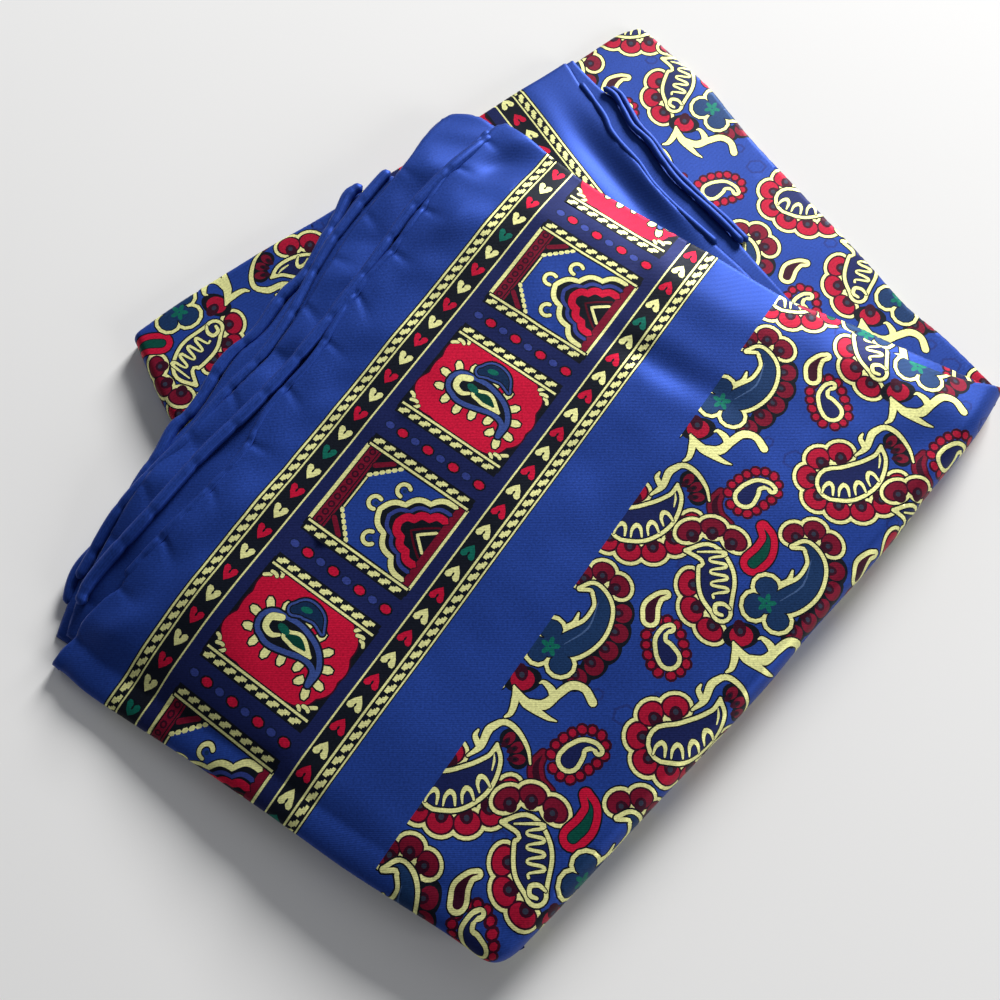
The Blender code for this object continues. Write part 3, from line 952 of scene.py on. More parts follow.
def silk_piece(name, flat, faces, dyes, surface, rib_angle, material):
    """The flat triangles laid on their surface, as one piece of silk."""
    used, faces = np.unique(faces, return_inverse=True)
    faces = faces.reshape(-1, 3)
    flat = flat[used]
    places = surface(flat)
    data = bpy.data.meshes.new(name)
    data.vertices.add(len(flat))
    data.vertices.foreach_set("co", placed(places).astype(np.float32).ravel())
    data.loops.add(faces.size)
    data.loops.foreach_set("vertex_index", faces.astype(np.int32).ravel())
    data.polygons.add(len(faces))
    data.polygons.foreach_set("loop_start", np.arange(0, faces.size, 3, dtype=np.int32))
    data.update(calc_edges=True)
    colours = np.concatenate((np.repeat(dyes, 3, axis=0), np.ones((faces.size, 1))), axis=1)
    layer = data.attributes.new("dye", "FLOAT_COLOR", "CORNER")
    layer.data.foreach_set("color", colours.astype(np.float32).ravel())
    cloth_map(data, flat, faces, rib_angle)
    data.shade_smooth()
    data.materials.append(material)
    piece = bpy.data.objects.new(name, data)
    bpy.context.scene.collection.objects.link(piece)
    return piece


# ----------------------------------------------------------------- the top silk
BAND_ANGLE = 54.4
BAND_ORIGIN = np.array((-86.02, -13.06))  # on the hem, beside the first red tile
TOP_HEM = ((-105.6, -37.6), (-102.8, -33.9), (-92.0, -23.1), (-78.5, -8.3), (-65.4, 7.5),
           (-58.3, 21.9), (-48.2, 34.6), (-39.0, 52.2), (-25.9, 70.8), (-14.0, 91.5),
           (-2.6, 107.1), (2.3, 110.2))
TOP_HALF = ((2.3, 110.2), (13.5, 100.1), (25.1, 89.6), (41.3, 78.3), (54.5, 69.2),
            (66.9, 60.3), (81.8, 49.5), (93.3, 43.3), (107.2, 35.4), (121.0, 30.4), (134.4, 29.0))
CREASE = ((134.4, 29.0), (131.9, 25.4), (122.8, 13.6), (109.6, -0.7), (97.9, -14.3),
          (76.3, -36.1), (61.8, -51.7), (37.4, -75.2), (18.3, -94.0), (0.0, -111.4))
TOP_SIDE = ((0.0, -111.4), (-12.2, -103.3), (-34.3, -90.6), (-49.7, -80.8), (-73.4, -66.4),
            (-97.8, -52.4), (-106.6, -46.0))
CREASE_REACH = 5.0  # how far the crease rounds out past the stack
CREASE_RUN = 14.8  # the silk that goes down round it

hem_edge = Edge(TOP_HEM, 0.7, 0.6)
half_edge = Edge(TOP_HALF, 0.7, 0.6)
crease_edge = Edge(CREASE, CREASE_REACH, 4.0, CREASE_RUN)
side_edge = Edge(TOP_SIDE, 8.0, 3.4)

# Soft hills and hollows in the top silk: place, height, length, width, angle.
TOP_RELIEF = (
    ((-93.0, -35.0), 2.0, 11.0, 6.0, 20.0),
    ((-80.0, -17.0), -1.0, 12.0, 6.0, 8.0),
    ((-69.0, -4.0), 0.6, 8.0, 5.0, 5.0),
    ((-60.0, 5.0), -0.4, 9.0, 5.0, 5.0),
    ((-50.0, 16.0), -0.6, 9.0, 5.0, 5.0),
    ((-42.0, 27.0), -1.0, 10.0, 6.0, 5.0),
    ((-37.0, 36.0), -0.5, 9.0, 4.5, 0.0),
    ((-29.0, 50.0), -0.2, 10.0, 6.0, 5.0),
    ((-23.0, 62.0), 0.5, 9.0, 4.5, 0.0),
    ((-15.0, 76.0), 1.9, 12.0, 7.0, 8.0),
    ((-6.0, 86.0), -0.4, 9.0, 5.0, 5.0),
    ((-1.0, 95.0), -1.5, 11.0, 5.0, 0.0),
    ((5.0, 104.0), 1.2, 9.0, 4.5, -10.0),
    ((57.0, 48.5), 0.4, 22.0, 5.4, -31.0),
    ((44.0, 32.0), -1.2, 18.0, 4.6, -31.0),
    ((98.0, 31.0), 0.5, 14.0, 5.0, -30.0),
    ((110.0, 12.0), -0.4, 12.0, 5.0, 20.0),
    ((60.0, -20.0), 0.5, 34.0, 12.0, 45.0),
    ((20.0, -40.0), -0.5, 30.0, 8.0, 50.0),
    ((-20.0, -60.0), 0.5, 20.0, 8.0, -30.0),
)
TOP_STITCHES = (-30.0, -14.5, 1.0, 17.5, 33.0, 50.0, 66.5, 82.0, 98.0, 113.5, 130.0, 143.0)


def along_band(points):
    """How far in from the top hem points lie, and how far along it."""
    way = turned(((1.0, 0.0), (0.0, -1.0)), BAND_ANGLE)
    return (points - BAND_ORIGIN) @ way[1], (points - BAND_ORIGIN) @ way[0]


def stitch_pull(points, edge, along, stitches, seed):
    """Short creases where hand stitches pull a hem in, and soft puffs between."""
    dice = np.random.default_rng(seed)
    depth = np.maximum(-edge.beyond(points), 0.0)
    pull = np.zeros(len(points))
    for stitch in stitches:
        lean = dice.uniform(-0.7, 0.2)
        size = dice.uniform(0.6, 1.1)
        gap = along - stitch - lean * depth
        pull -= size * 0.42 * np.exp(-((gap / (0.8 + 0.16 * depth)) ** 2) - (depth / 5.0) ** 2)
        pull += size * 0.34 * np.exp(-(((gap - 7.5) / 5.0) ** 2) - ((depth - 3.5) / 3.5) ** 2)
    return pull


def scallop(points, edge, along, stitches):
    """How far a hem bulges out over its rolled edge, between its stitches."""
    depth = np.maximum(-edge.beyond(points), 0.0)
    bulge = np.ones(len(points))
    for stitch in stitches:
        bulge -= np.exp(-(((along - stitch) / 2.6) ** 2))
    return (0.9 * bulge - 0.1) * np.exp(-depth / 5.0)


def top_height(points):
    _, b = along_band(points)
    height = above_second(points) + LIGHT_PAIR
    relief = ripple(points, 46.0, 3) * 0.28 + ripple(points, 17.0, 8) * 0.12
    relief = relief + ripple(points, 9.0, 18) * 0.04
    for place, size, length, width, angle in TOP_RELIEF:
        relief = relief + size * bump_at(points, place, length, width, angle)
    inner = soft_step((-hem_edge.beyond(points) - 1.0) / 8.0)
    height = height + relief * (0.35 + 0.65 * inner)
    height = height + stitch_pull(points, hem_edge, b, TOP_STITCHES, 11)
    return height


TUCK_HEIGHT = 0.15  # of the silk that has gone down round the crease
TOP_LOWEST = 0.12


def top_surface(flat):
    """The top silk: flat over the stack, down round the crease, over its sides."""
    points = flat.copy()
    past = {}
    for edge in (hem_edge, half_edge, crease_edge, side_edge):
        past[edge] = np.maximum(edge.beyond(flat), 0.0)
    for edge in past:
        points = points - past[edge][:, None] * edge.out
    height = top_height(points)
    angle = np.pi * np.clip(past[crease_edge] / crease_edge.run, 0.0, 1.0)
    lip = np.maximum(past[crease_edge] - crease_edge.run, 0.0)
    out = crease_edge.out
    place = points + out * (crease_edge.radius * np.sin(angle) - lip)[:, None]
    rise = TUCK_HEIGHT + (height - TUCK_HEIGHT) / 2 * (1 + np.cos(angle))
    inward = np.stack((-out[0] * np.sin(angle), -out[1] * np.sin(angle), -np.cos(angle)), axis=1)
    result = np.column_stack((place, rise))
    stack = above_second(points) + LIGHT_PAIR - bed(points)
    for edge in (hem_edge, half_edge, side_edge):
        turn = np.pi * np.clip(past[edge] / edge.run, 0.0, 1.0)
        tuck = np.maximum(past[edge] - edge.run, 0.0)
        depth = np.minimum(edge.depth, stack / 2 - 0.1)
        result[:, :2] += edge.out * (edge.radius * np.sin(turn) - tuck)[:, None]
        result += inward * (depth * (1 - np.cos(turn)))[:, None]
    swell = scallop(flat, hem_edge, along_band(flat)[1], TOP_STITCHES)
    result[:, :2] += hem_edge.out * swell[:, None]
    result[:, 2] = np.maximum(result[:, 2], TOP_LOWEST)
    return result


def outline_past(edges, extras):
    """The flat outline of a sheet that runs on past each edge by its own extra."""
    lines = []
    for edge, extra in zip(edges, extras):
        lines.append(edge.course + edge.out * (extra - edge.radius))
    outline = []
    for i, line in enumerate(lines):
        before, after = lines[i - 1], lines[(i + 1) % len(lines)]
        start = meeting(before[-2], before[-1], line[0], line[1])
        end = meeting(line[-2], line[-1], after[0], after[1])
        run = unit(line[-1] - line[0])
        at = line @ run
        keep = (at > start @ run + 0.5) & (at < end @ run - 0.5)
        outline.append(np.concatenate((start[None], line[keep])))
    return np.concatenate(outline)


def meeting(a, b, c, d):
    """Where the line a-b meets the line c-d."""
    reach = outside(a, c, d)
    return a + (b - a) * reach / (reach - outside(b, c, d))


FIELD_FROM = 92.0  # where the field starts, in from the hem
TOP_STAR = (73.7, -132.0)  # the middle of a pair, from the band's origin
TOP_FIELD_PITCH = (38.8, 36.5)


def add_top_silk(material):
    edges = (hem_edge, half_edge, crease_edge, side_edge)
    outline = outline_past(edges, (3.6, 4.4, CREASE_RUN + 3.0, side_edge.run + 2.0))
    field = np.array(((-150.0, -FIELD_FROM), (250.0, -FIELD_FROM), (250.0, -260.0), (-150.0, -260.0)))
    drawing = Print(BAND_ORIGIN + turned(field, BAND_ANGLE))
    star = BAND_ORIGIN + turned((TOP_STAR,), BAND_ANGLE)[0]
    field_print(drawing, star, BAND_ANGLE, outline, TOP_FIELD_PITCH)
    border_print(Border(drawing, BAND_ORIGIN, BAND_ANGLE, -66.0, 176.0))

    def fine(points):
        a, _ = along_band(points)
        rim = np.max([edge.beyond(points) for edge in edges], axis=0)
        return (a < 15.0) | (rim > -1.0)

    grid = sheet_points(outline, 2.1, fine)
    flat, faces, dyes = cut_mesh(outline, drawing, grid)
    return silk_piece("top_silk", flat, faces, dyes, top_surface, 0.0, material)


# ------------------------------------------------------ the rest of the bundle
SHEET_LOWEST = 0.03
TUCKED_IN = 1.5  # how far a sheet runs on past its folded edge


class FlatSheet:
    """A sheet that lies flat, over or under its folded edges."""

    def __init__(self, edges, height, face_up=True):
        self.edges = edges
        self.height = height
        self.way = -1.0 if face_up else 1.0

    def surface(self, flat):
        points = flat.copy()
        past = [np.maximum(edge.beyond(flat), 0.0) for edge in self.edges]
        for edge, distance in zip(self.edges, past):
            points = points - distance[:, None] * edge.out
        result = np.column_stack((points, self.height(points)))
        for edge, distance in zip(self.edges, past):
            turn = np.pi * np.clip(distance / edge.run, 0.0, 1.0)
            tuck = np.maximum(distance - edge.run, 0.0)
            result[:, :2] += edge.out * (edge.radius * np.sin(turn) - tuck)[:, None]
            result[:, 2] += self.way * edge.depth * (1 - np.cos(turn))
        result[:, 2] = np.maximum(result[:, 2], SHEET_LOWEST)
        return result

    def outline(self):
        return outline_past(self.edges, [edge.run + TUCKED_IN for edge in self.edges])


QUARTER_COURSE = ((-100.2, 45.0), (-84.5, 58.1), (-62.8, 73.6), (-45.6, 86.0), (-20.0, 105.5),
                  (-3.0, 118.5), (12.9, 130.3), (31.7, 145.2), (37.0, 148.8), (42.4, 150.8))
HALF_COURSE = ((42.4, 150.8), (46.2, 147.6), (54.2, 138.0), (63.2, 127.8), (74.9, 108.7),
               (91.4, 86.0), (104.0, 68.2), (113.1, 55.3), (122.3, 45.5), (133.9, 30.4))
CREASE_INNER = ((133.9, 30.4), (97.0, -12.5), (60.0, -50.0), (1.5, -108.5))
SIDE_COURSE = ((1.5, -108.5), (-30.0, -62.0), (-62.0, -13.0), (-86.2, 19.0), (-100.2, 45.0))
BORDER_HEM_COURSE = ((21.0, 133.0), (23.7, 127.4), (27.2, 121.9), (30.4, 115.9), (32.2, 110.6),
                     (35.6, 105.3), (39.8, 99.5), (43.9, 92.4), (51.0, 83.6), (60.6, 73.1),
                     (68.0, 64.7), (76.0, 54.0))
UNDER_HEM_COURSE = ((25.0, 133.0), (30.6, 126.2), (33.9, 123.5), (36.5, 118.0), (38.8, 112.7),
                    (43.0, 107.4), (46.6, 100.9), (51.2, 93.8), (59.4, 84.3), (67.9, 73.7),
                    (73.7, 65.3), (82.0, 54.0))
SECOND_HEM = ((-108.5, -36.0), (-104.5, -24.0), (-96.0, -7.0), (-83.1, 12.5), (-72.0, 24.0),
              (-61.7, 36.1), (-52.2, 52.5), (-42.5, 72.4), (-35.7, 82.9), (-27.0, 95.5),
              (-22.0, 105.5), (-17.5, 112.5))
SECOND_HALF = ((-17.5, 112.5), (-15.0, 114.6), (-11.3, 115.2), (-6.1, 114.1), (-1.4, 110.6),
               (12.0, 98.5), (41.0, 76.6), (67.0, 59.4), (84.0, 51.2), (96.0, 46.2),
               (109.0, 39.4), (122.0, 33.6), (131.0, 30.0))
CORE_HEM = ((-112.0, -36.0), (-108.6, -26.0), (-104.0, -17.0), (-96.6, -8.0), (-91.0, 2.0),
            (-86.0, 12.5), (-78.6, 22.2), (-70.6, 37.1), (-63.5, 44.7), (-57.0, 55.5),
            (-51.5, 62.1), (-46.6, 72.7), (-42.7, 82.8), (-38.5, 89.0))
CORE_HALF = ((-38.5, 89.0), (-30.0, 93.5), (0.0, 74.0), (60.0, 36.0), (111.4, 4.8))

BORDER_TOP = 2 * (PAIR + GAP) + 2 * (LIGHT_PAIR + GAP) - GAP
UNDER_TOP = BORDER_TOP - LIGHT_PAIR - GAP
FACING_TOP = 2 * PAIR + GAP


def level(height, size=0.0, pitch=30.0, seed=1):
    """A flat height with a gentle unevenness."""
    def at(points):
        return height + size * ripple(points, pitch, seed)
    return at


def border_height(points):
    """The turned-over border: it sags towards the top silk and rises at its hem."""
    height = BORDER_TOP + 0.22 * ripple(points, 26.0, 21)
    height += 0.7 * bump_at(points, (16.0, 116.0), 12.0, 6.0, -57.0)
    height -= 1.7 * bump_at(points, (34.5, 93.5), 26.0, 4.4, -55.0)
    height += 0.6 * bump_at(points, (44.0, 92.0), 24.0, 3.0, -55.0)
    return height


second_hem_edge = Edge(SECOND_HEM, 0.8, 0.6)
core_hem_edge = Edge(CORE_HEM, 1.2, 1.2)

# Soft hills and hollows in the second pair: place, height, length, width, angle.
SECOND_RELIEF = (
    ((-86.0, 2.0), 0.5, 6.0, 4.0, 0.0),
    ((-77.0, 11.0), -0.6, 7.0, 3.5, 0.0),
    ((-66.0, 22.0), 0.5, 7.0, 4.5, 10.0),
    ((-57.0, 35.0), -0.8, 7.0, 4.0, 0.0),
    ((-43.0, 60.5), 0.9, 7.0, 4.5, 5.0),
    ((-37.0, 71.0), -0.6, 7.0, 3.5, 0.0),
    ((-21.0, 94.0), 1.1, 9.0, 5.0, 10.0),
    ((-11.0, 107.0), 0.6, 8.0, 3.5, 0.0),
)
SECOND_STITCHES = (-22.0, -6.0, 9.0, 26.0, 41.0, 57.0, 72.0, 88.0, 104.0, 121.0)


def second_height(points):
    """The second pair, flat and plain where it shows beside the top hem."""
    height = above_core(points) + LIGHT_PAIR
    height = height + 0.25 * ripple(points, 22.0, 14)
    for place, size, length, width, angle in SECOND_RELIEF:
        height = height + size * bump_at(points, place, length, width, angle)
    height += stitch_pull(points, second_hem_edge, along_band(points)[1], SECOND_STITCHES, 5)
    return height


def core_height(points):
    return bed(points) + CORE * core_share(points) + 0.2 * ripple(points, 24.0, 41)


border_sheet = FlatSheet(
    (
        Edge(QUARTER_COURSE, 1.2, 1.3),
        Edge(BORDER_HEM_COURSE, 0.6, 0.5),
        Edge(CREASE_INNER, 0.6, 0.5),
        Edge(SIDE_COURSE, 2.8, 3.0),
    ),
    border_height,
)
under_border_sheet = FlatSheet(
    (
        Edge(QUARTER_COURSE, 0.8, 0.6),
        Edge(UNDER_HEM_COURSE, 0.6, 0.5),
        Edge(CREASE_INNER, 0.6, 0.5),
        Edge(BORDER_HEM_COURSE[::-1], 0.1, 0.1),
    ),
    level(UNDER_TOP, 0.15, 20.0, 5),
)
facing_sheet = FlatSheet(
    (
        Edge(QUARTER_COURSE, 1.5, 1.5),
        Edge(HALF_COURSE, 0.75, 0.7),
        Edge(CREASE_INNER, 0.7, 0.6),
        Edge(SIDE_COURSE, 0.7, 0.7),
    ),
    level(FACING_TOP, 0.18, 30.0, 31),
)
under_sheet = FlatSheet(
    (
        Edge(QUARTER_COURSE, 0.7, 0.65),
        Edge(HALF_COURSE, 0.85, 0.7),
        Edge(CREASE_INNER, 0.7, 0.6),
        Edge(SIDE_COURSE, 0.7, 0.6),
    ),
    level(0.06),
    face_up=False,
)
second_sheet = FlatSheet(
    (
        second_hem_edge,
        Edge(SECOND_HALF, 0.7, 0.6),
        Edge(((131.0, 30.0), (98.0, -8.0), (4.0, -102.0)), 0.6, 0.5),
        Edge(((4.0, -102.0), (-50.0, -76.0), (-108.5, -36.0)), 0.6, 0.5),
    ),
    second_height,
)
core_sheet = FlatSheet(
    (
        core_hem_edge,
        Edge(CORE_HALF, 1.2, 1.2),
        Edge(((111.4, 4.8), (60.0, -44.0), (4.0, -104.0)), 1.2, 1.2),
        Edge(((4.0, -104.0), (-54.0, -70.0), (-112.0, -36.0)), 1.0, 1.2),
    ),
    core_height,
)


def add_sheet(name, sheet, drawing, material, wide, rib_angle, close=None):
    """A flat sheet with its print, as one piece. Points are wide apart but where close."""
    outline = sheet.outline()

    def fine(points):
        rim = np.max([edge.beyond(points) for edge in sheet.edges], axis=0)
        return (rim > -1.0) | (close(points) if close else False)

    grid = sheet_points(outline, wide, fine)
    flat, faces, dyes = cut_mesh(outline, drawing, grid)
    if sheet.way > 0:
        faces = faces[:, ::-1]
    return silk_piece(name, flat, faces, dyes, sheet.surface, rib_angle, material)


# How the print lies on each sheet: the way its border runs, and a pair's middle.
FACING_ANGLE = 37.1
FACING_STAR = (63.0, 120.7)
FLAP_ANGLE = 197.0
FLAP_STAR = (-87.6, 51.8)
UNDER_ANGLE = 142.0
UNDER_STAR = (10.0, 20.0)
SECOND_ANGLE = 101.0
SECOND_STAR = (98.0, 44.0)
SECOND_STRIP = ((60.0, 64.5), (134.0, 29.0))  # where this sheet shows beside the top one
BORDER_BAND_ANGLE = -56.9
BORDER_BAND_ORIGIN = (21.4, 129.6)
LOWER_RIBS = -17.4  # how the twill runs on the lower stack, in degrees


def add_border_silk(material):
    drawing = Print()
    seen = np.array(((-112.0, 38.0), (-40.0, 100.0), (-38.0, 80.0), (-86.0, 8.0)))
    field_print(drawing, FLAP_STAR, FLAP_ANGLE, seen)
    border_print(Border(drawing, BORDER_BAND_ORIGIN, BORDER_BAND_ANGLE, -26.0, 44.0))

    def close(points):
        return (outside(points, *BORDER_HEM) > -16.0) & (points[:, 1] > 60.0)

    return add_sheet("border_silk", border_sheet, drawing, material, 2.4, LOWER_RIBS, close)


def add_facing_silk(material):
    drawing = Print()
    seen = np.array(((20.0, 160.0), (60.0, 160.0), (140.0, 30.0), (100.0, 36.0), (24.0, 118.0)))
    field_print(drawing, FACING_STAR, FACING_ANGLE, seen)
    return add_sheet("facing_silk", facing_sheet, drawing, material, 2.4, LOWER_RIBS)


def add_under_silk(material):
    drawing = Print()
    seen = np.array(((-100.0, 46.0), (42.0, 151.0), (134.0, 29.0), (0.0, -110.0)))
    field_print(drawing, UNDER_STAR, UNDER_ANGLE, seen, fine=False)
    return add_sheet("under_silk", under_sheet, drawing, material, 6.0, LOWER_RIBS)


def add_under_border_silk(material):
    return add_sheet("under_border_silk", under_border_sheet, Print(), material, 1.8, LOWER_RIBS)


def add_second_silk(material):
    drawing = Print()
    seen = np.array(((60.0, 54.0), (60.0, 74.0), (138.0, 37.0), (136.0, 22.0)))
    field_print(drawing, SECOND_STAR, SECOND_ANGLE, seen)

    def close(points):
        beside_top = np.abs(outside(points, *SECOND_STRIP)) < 8.0
        return (second_hem_edge.beyond(points) > -16.0) | (beside_top & (points[:, 0] > 56.0))

    return add_sheet("second_silk", second_sheet, drawing, material, 3.0, 0.0, close)


def add_core_silk(material):
    def close(points):
        return core_hem_edge.beyond(points) > -14.0

    return add_sheet("core_silk", core_sheet, Print(), material, 3.6, 0.0, close)


# ------------------------------------------------------------- the rolled hems
RING_PITCH = 0.8  # along a roll, in millimetres
RING_POINTS = 14
STITCH_PITCH = 13.5


def rolled_hem(name, course, height, material, seed, radius=0.85):
    """A hand-rolled edge: a soft tube that each stitch pinches a little."""
    dice = np.random.default_rng(seed)
    line = smooth_line(course, 10)
    length = np.linalg.norm(np.diff(line, axis=0), axis=1).sum()
    rings = int(length / RING_PITCH)
    line = resampled(line, rings + 1)
    run = np.linspace(0.0, length, rings + 1)
    stitches = np.arange(dice.uniform(2.0, 8.0), length, STITCH_PITCH)
    stitches = stitches + dice.uniform(-2.2, 2.2, len(stitches))
    pinch = np.exp(-(((run[:, None] - stitches) / 1.1) ** 2)).sum(axis=1)
    swell = np.interp(run, np.arange(0.0, length + 8, 8.0), dice.uniform(-1, 1, int(length / 8) + 2))
    size = radius * (1.0 + 0.10 * swell - 0.15 * pinch)
    ends = np.clip(np.minimum(run, length - run) / (radius * 1.2), 0.02, 1.0)
    size = size * np.sqrt(1 - (1 - ends) ** 2)
    side = sides_of(line)
    sway = 0.15 * swell + 0.10 * pinch
    middle = line + side * sway[:, None]
    mesh = bmesh.new()
    bmesh.ops.create_grid(mesh, x_segments=rings, y_segments=RING_POINTS, size=0.5)
    mesh.verts.ensure_lookup_table()
    base = height(middle)
    uv = mesh.loops.layers.uv.new(CLOTH_MAP)
    for face in mesh.faces:
        for loop in face.loops:
            share = loop.vert.co.x + 0.5
            turn = loop.vert.co.y + 0.5
            loop[uv].uv = (
                0.3 + (share * length * 0.8 + turn * 3.0) / CLOTH_MAP_SIZE,
                0.5 + turn * 6.6 / CLOTH_MAP_SIZE,
            )
    for vert in mesh.verts:
        i = round((vert.co.x + 0.5) * rings)
        turn = (vert.co.y + 0.5) * 2 * np.pi
        out = side[i] * np.cos(turn) * size[i] * 1.12
        up = np.sin(turn) * size[i] * 0.95
        place = np.array((*(middle[i] + out), base[i] + radius + up))
        vert.co = placed(place)
    bmesh.ops.remove_doubles(mesh, verts=mesh.verts, dist=0.000002)
    bmesh.ops.recalc_face_normals(mesh, faces=mesh.faces)
    data = bpy.data.meshes.new(name)
    mesh.to_mesh(data)
    mesh.free()
    colours = np.tile(np.array((*BLUE, 1.0)), (len(data.loops), 1))
    layer = data.attributes.new("dye", "FLOAT_COLOR", "CORNER")
    layer.data.foreach_set("color", colours.astype(np.float32).ravel())
    data.shade_smooth()
    data.materials.append(material)
    piece = bpy.data.objects.new(name, data)
    bpy.context.scene.collection.objects.link(piece)
    return piece


TOP_ROLL = ((-104.5, -29.0), (-101.0, -22.1), (-88.0, -7.8), (-75.2, 9.0), (-62.7, 22.8),
            (-49.9, 39.7), (-39.7, 55.4), (-23.4, 81.6), (-8.5, 99.3), (-2.5, 106.0))
CORE_ROLL = ((-109.5, -28.0), (-107.0, -19.0), (-98.0, -9.5), (-93.0, 1.0), (-88.0, 9.5),
             (-84.9, 17.3), (-80.6, 22.2), (-72.6, 37.1), (-65.5, 44.7), (-59.0, 55.5),
             (-53.5, 62.1), (-48.6, 72.7), (-44.7, 82.8), (-42.7, 87.4), (-39.0, 90.6))
INNER_ROLL = ((-106.5, -22.0), (-98.0, -7.0), (-88.0, 5.0), (-80.5, 13.5), (-73.3, 24.1),
              (-63.8, 36.1), (-57.2, 47.1), (-52.5, 58.5), (-48.2, 68.3), (-43.1, 77.1),
              (-38.5, 84.1), (-33.2, 91.9), (-31.0, 94.0))
TOP_EDGE_ROLL = [(x - 0.5, y + 0.4) for x, y in TOP_HEM[2:-1]]


def add_rolled_hems(material):
    def above_core_rim(points):
        return bed(points) + CORE * 0.72

    def below_second(points):
        return bed(points) + 0.1

    def low_on_second(points):
        return above_second(points) - 1.0

    def under_top_edge(points):
        return top_height(points) - 1.5

    first = BORDER_HEM_COURSE[1:-2]
    second = UNDER_HEM_COURSE[1:-2]
    third = [(x + 2.0, y + 1.2) for x, y in second]
    on_second = level(BORDER_TOP - LIGHT_PAIR + 0.1)
    on_third = level(UNDER_TOP + 0.1)
    on_facing = level(FACING_TOP + 0.15)
    hems = {
        "top_hem": rolled_hem("top_roll", TOP_ROLL, low_on_second, material, 2, 1.5),
        "core_hem": rolled_hem("core_roll", CORE_ROLL, below_second, material, 3, 1.5),
        "border_hem_1": rolled_hem("border_roll_1", first, on_second, material, 4),
        "border_hem_2": rolled_hem("border_roll_2", second, on_third, material, 5),
        "border_hem_3": rolled_hem("border_roll_3", third, on_facing, material, 6),
    }
    inner = rolled_hem("inner_roll", INNER_ROLL, above_core_rim, material, 7, 1.35)
    edge = rolled_hem("edge_roll", TOP_EDGE_ROLL, under_top_edge, material, 9, 0.95)
    return hems, inner, edge


# ------------------------------------------------------------------- materials
RIB_PITCH = 0.42  # of the twill, in millimetres


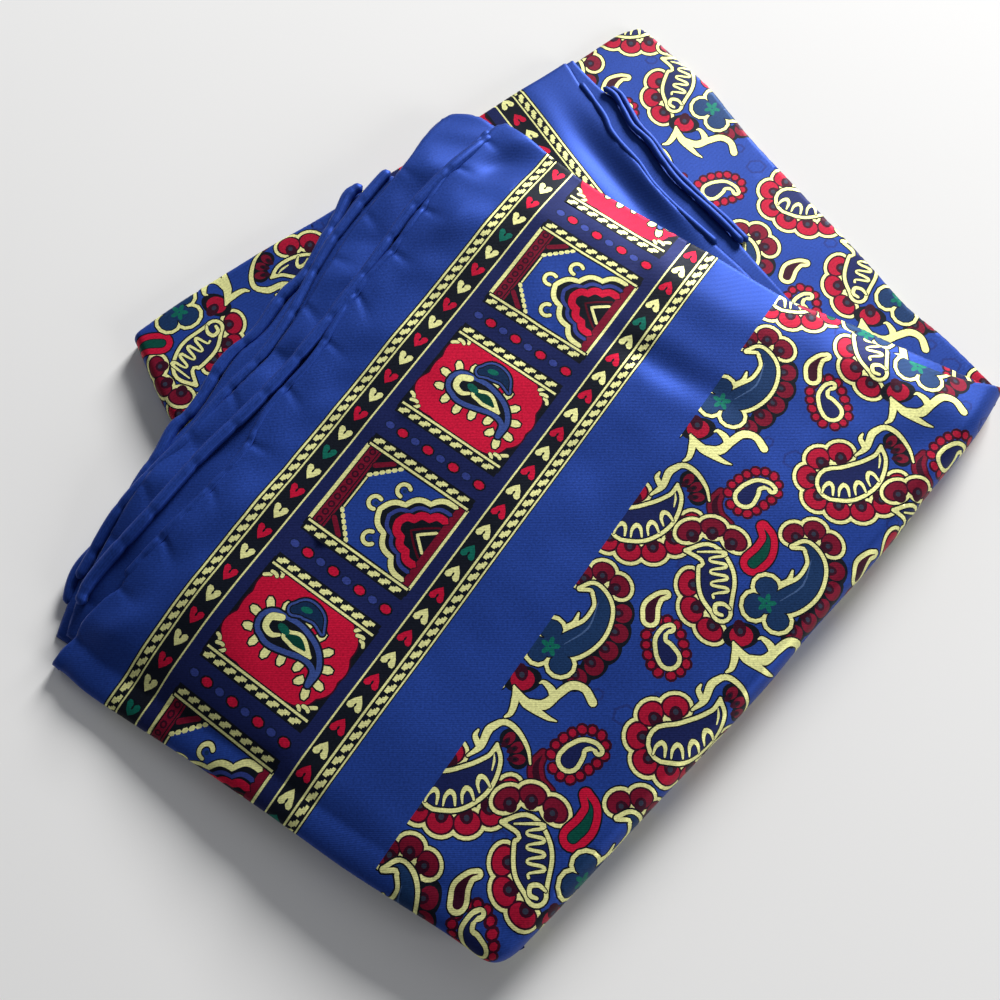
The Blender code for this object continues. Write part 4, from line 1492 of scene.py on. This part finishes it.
def silk_material(name):
    """Printed silk twill: the dye, fine ribs, and a soft gloss."""
    material = bpy.data.materials.new(name)
    material.use_nodes = True
    tree = material.node_tree
    shader = tree.nodes["Principled BSDF"]
    cloth = tree.nodes.new("ShaderNodeUVMap")
    cloth.uv_map = CLOTH_MAP
    ribs = tree.nodes.new("ShaderNodeTexWave")
    ribs.wave_type = "BANDS"
    ribs.bands_direction = "Y"
    ribs.wave_profile = "SIN"
    ribs.inputs["Scale"].default_value = CLOTH_MAP_SIZE / RIB_PITCH * 2 * np.pi / 20.0
    ribs.inputs["Distortion"].default_value = 1.2
    ribs.inputs["Detail"].default_value = 1.0
    ribs.inputs["Detail Scale"].default_value = 2.0
    tree.links.new(cloth.outputs["UV"], ribs.inputs["Vector"])
    grain = tree.nodes.new("ShaderNodeTexNoise")
    grain.inputs["Scale"].default_value = CLOTH_MAP_SIZE / 0.55
    grain.inputs["Detail"].default_value = 2.0
    tree.links.new(cloth.outputs["UV"], grain.inputs["Vector"])
    cloud = tree.nodes.new("ShaderNodeTexNoise")
    cloud.inputs["Scale"].default_value = CLOTH_MAP_SIZE / 26.0
    cloud.inputs["Detail"].default_value = 3.0
    tree.links.new(cloth.outputs["UV"], cloud.inputs["Vector"])

    def blend(kind, factor, first, second):
        mix = tree.nodes.new("ShaderNodeMix")
        mix.data_type = "RGBA"
        mix.blend_type = kind
        mix.inputs["Factor"].default_value = factor
        tree.links.new(first, mix.inputs["A"])
        tree.links.new(second, mix.inputs["B"])
        return mix.outputs["Result"]

    def shade(source, low, high):
        """The pattern as a grey from low to high."""
        spread = tree.nodes.new("ShaderNodeMapRange")
        spread.inputs["From Min"].default_value = 0.25
        spread.inputs["From Max"].default_value = 0.75
        spread.inputs["To Min"].default_value = low
        spread.inputs["To Max"].default_value = high
        tree.links.new(source, spread.inputs["Value"])
        return spread.outputs["Result"]

    dyed = tree.nodes.new("ShaderNodeAttribute")
    dyed.attribute_name = "dye"
    colour = blend("MULTIPLY", 1.0, dyed.outputs["Color"], shade(ribs.outputs["Fac"], 0.91, 1.06))
    colour = blend("MULTIPLY", 1.0, colour, shade(grain.outputs["Fac"], 0.78, 1.18))
    colour = blend("MULTIPLY", 1.0, colour, shade(cloud.outputs["Fac"], 0.90, 1.10))
    tree.links.new(colour, shader.inputs["Base Color"])
    tree.links.new(shade(grain.outputs["Fac"], 0.45, 0.55), shader.inputs["Roughness"])
    shader.inputs["Metallic"].default_value = 0.46  # gives the gloss the dye's own colour
    shader.inputs["Specular IOR Level"].default_value = 0.10
    shader.inputs["Sheen Weight"].default_value = 0.03
    shader.inputs["Sheen Roughness"].default_value = 0.35
    shader.inputs["Sheen Tint"].default_value = (0.75, 0.82, 1.0, 1.0)
    bump = tree.nodes.new("ShaderNodeBump")
    bump.inputs["Strength"].default_value = 0.25
    bump.inputs["Distance"].default_value = 0.00005
    tree.links.new(ribs.outputs["Fac"], bump.inputs["Height"])
    tree.links.new(bump.outputs["Normal"], shader.inputs["Normal"])
    return material


# ---------------------------------------------------------- putting it together
def part_of_bundle(piece, slot, *nodes):
    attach(piece, "root")
    if nodes:
        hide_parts(*nodes)


def cut_of(piece, *hems):
    """Reads a sheet's cut back from its cloth map: its flat coordinates in metres, which are not kept."""
    uv = piece.data.uv_layers[CLOTH_MAP]
    flat = np.empty(len(uv.data) * 2, np.float32)
    uv.data.foreach_get("uv", flat)
    flat = flat.reshape(-1, 3, 2).astype(float) * CLOTH_MAP_SIZE * MM


add_camera()
add_floor()
add_lights()
silk = silk_material("printed_silk")
hem_silk = silk_material("rolled_hem_silk")
hems, inner_roll, edge_roll = add_rolled_hems(hem_silk)
for node, roll in hems.items():
    part_of_bundle(roll, "rolled_hem", node)
part_of_bundle(inner_roll, "rolled_hem")
part_of_bundle(edge_roll, "rolled_hem")

sheets = (
    (add_top_silk, "top_pair", (edge_roll,)),
    (add_second_silk, "second_pair", (hems["top_hem"],)),
    (add_core_silk, "folded_core", (hems["core_hem"], inner_roll)),
    (add_border_silk, "border_pair", (hems["border_hem_1"],)),
    (add_under_border_silk, "under_border", (hems["border_hem_2"], hems["border_hem_3"])),
    (add_facing_silk, "facing_pair", ()),
    (add_under_silk, "under_pair", ()),
)
for add_silk, node, rolls in sheets:
    sheet = add_silk(silk)
    part_of_bundle(sheet, "printed_silk", node)
    cut_of(sheet, *rolls)
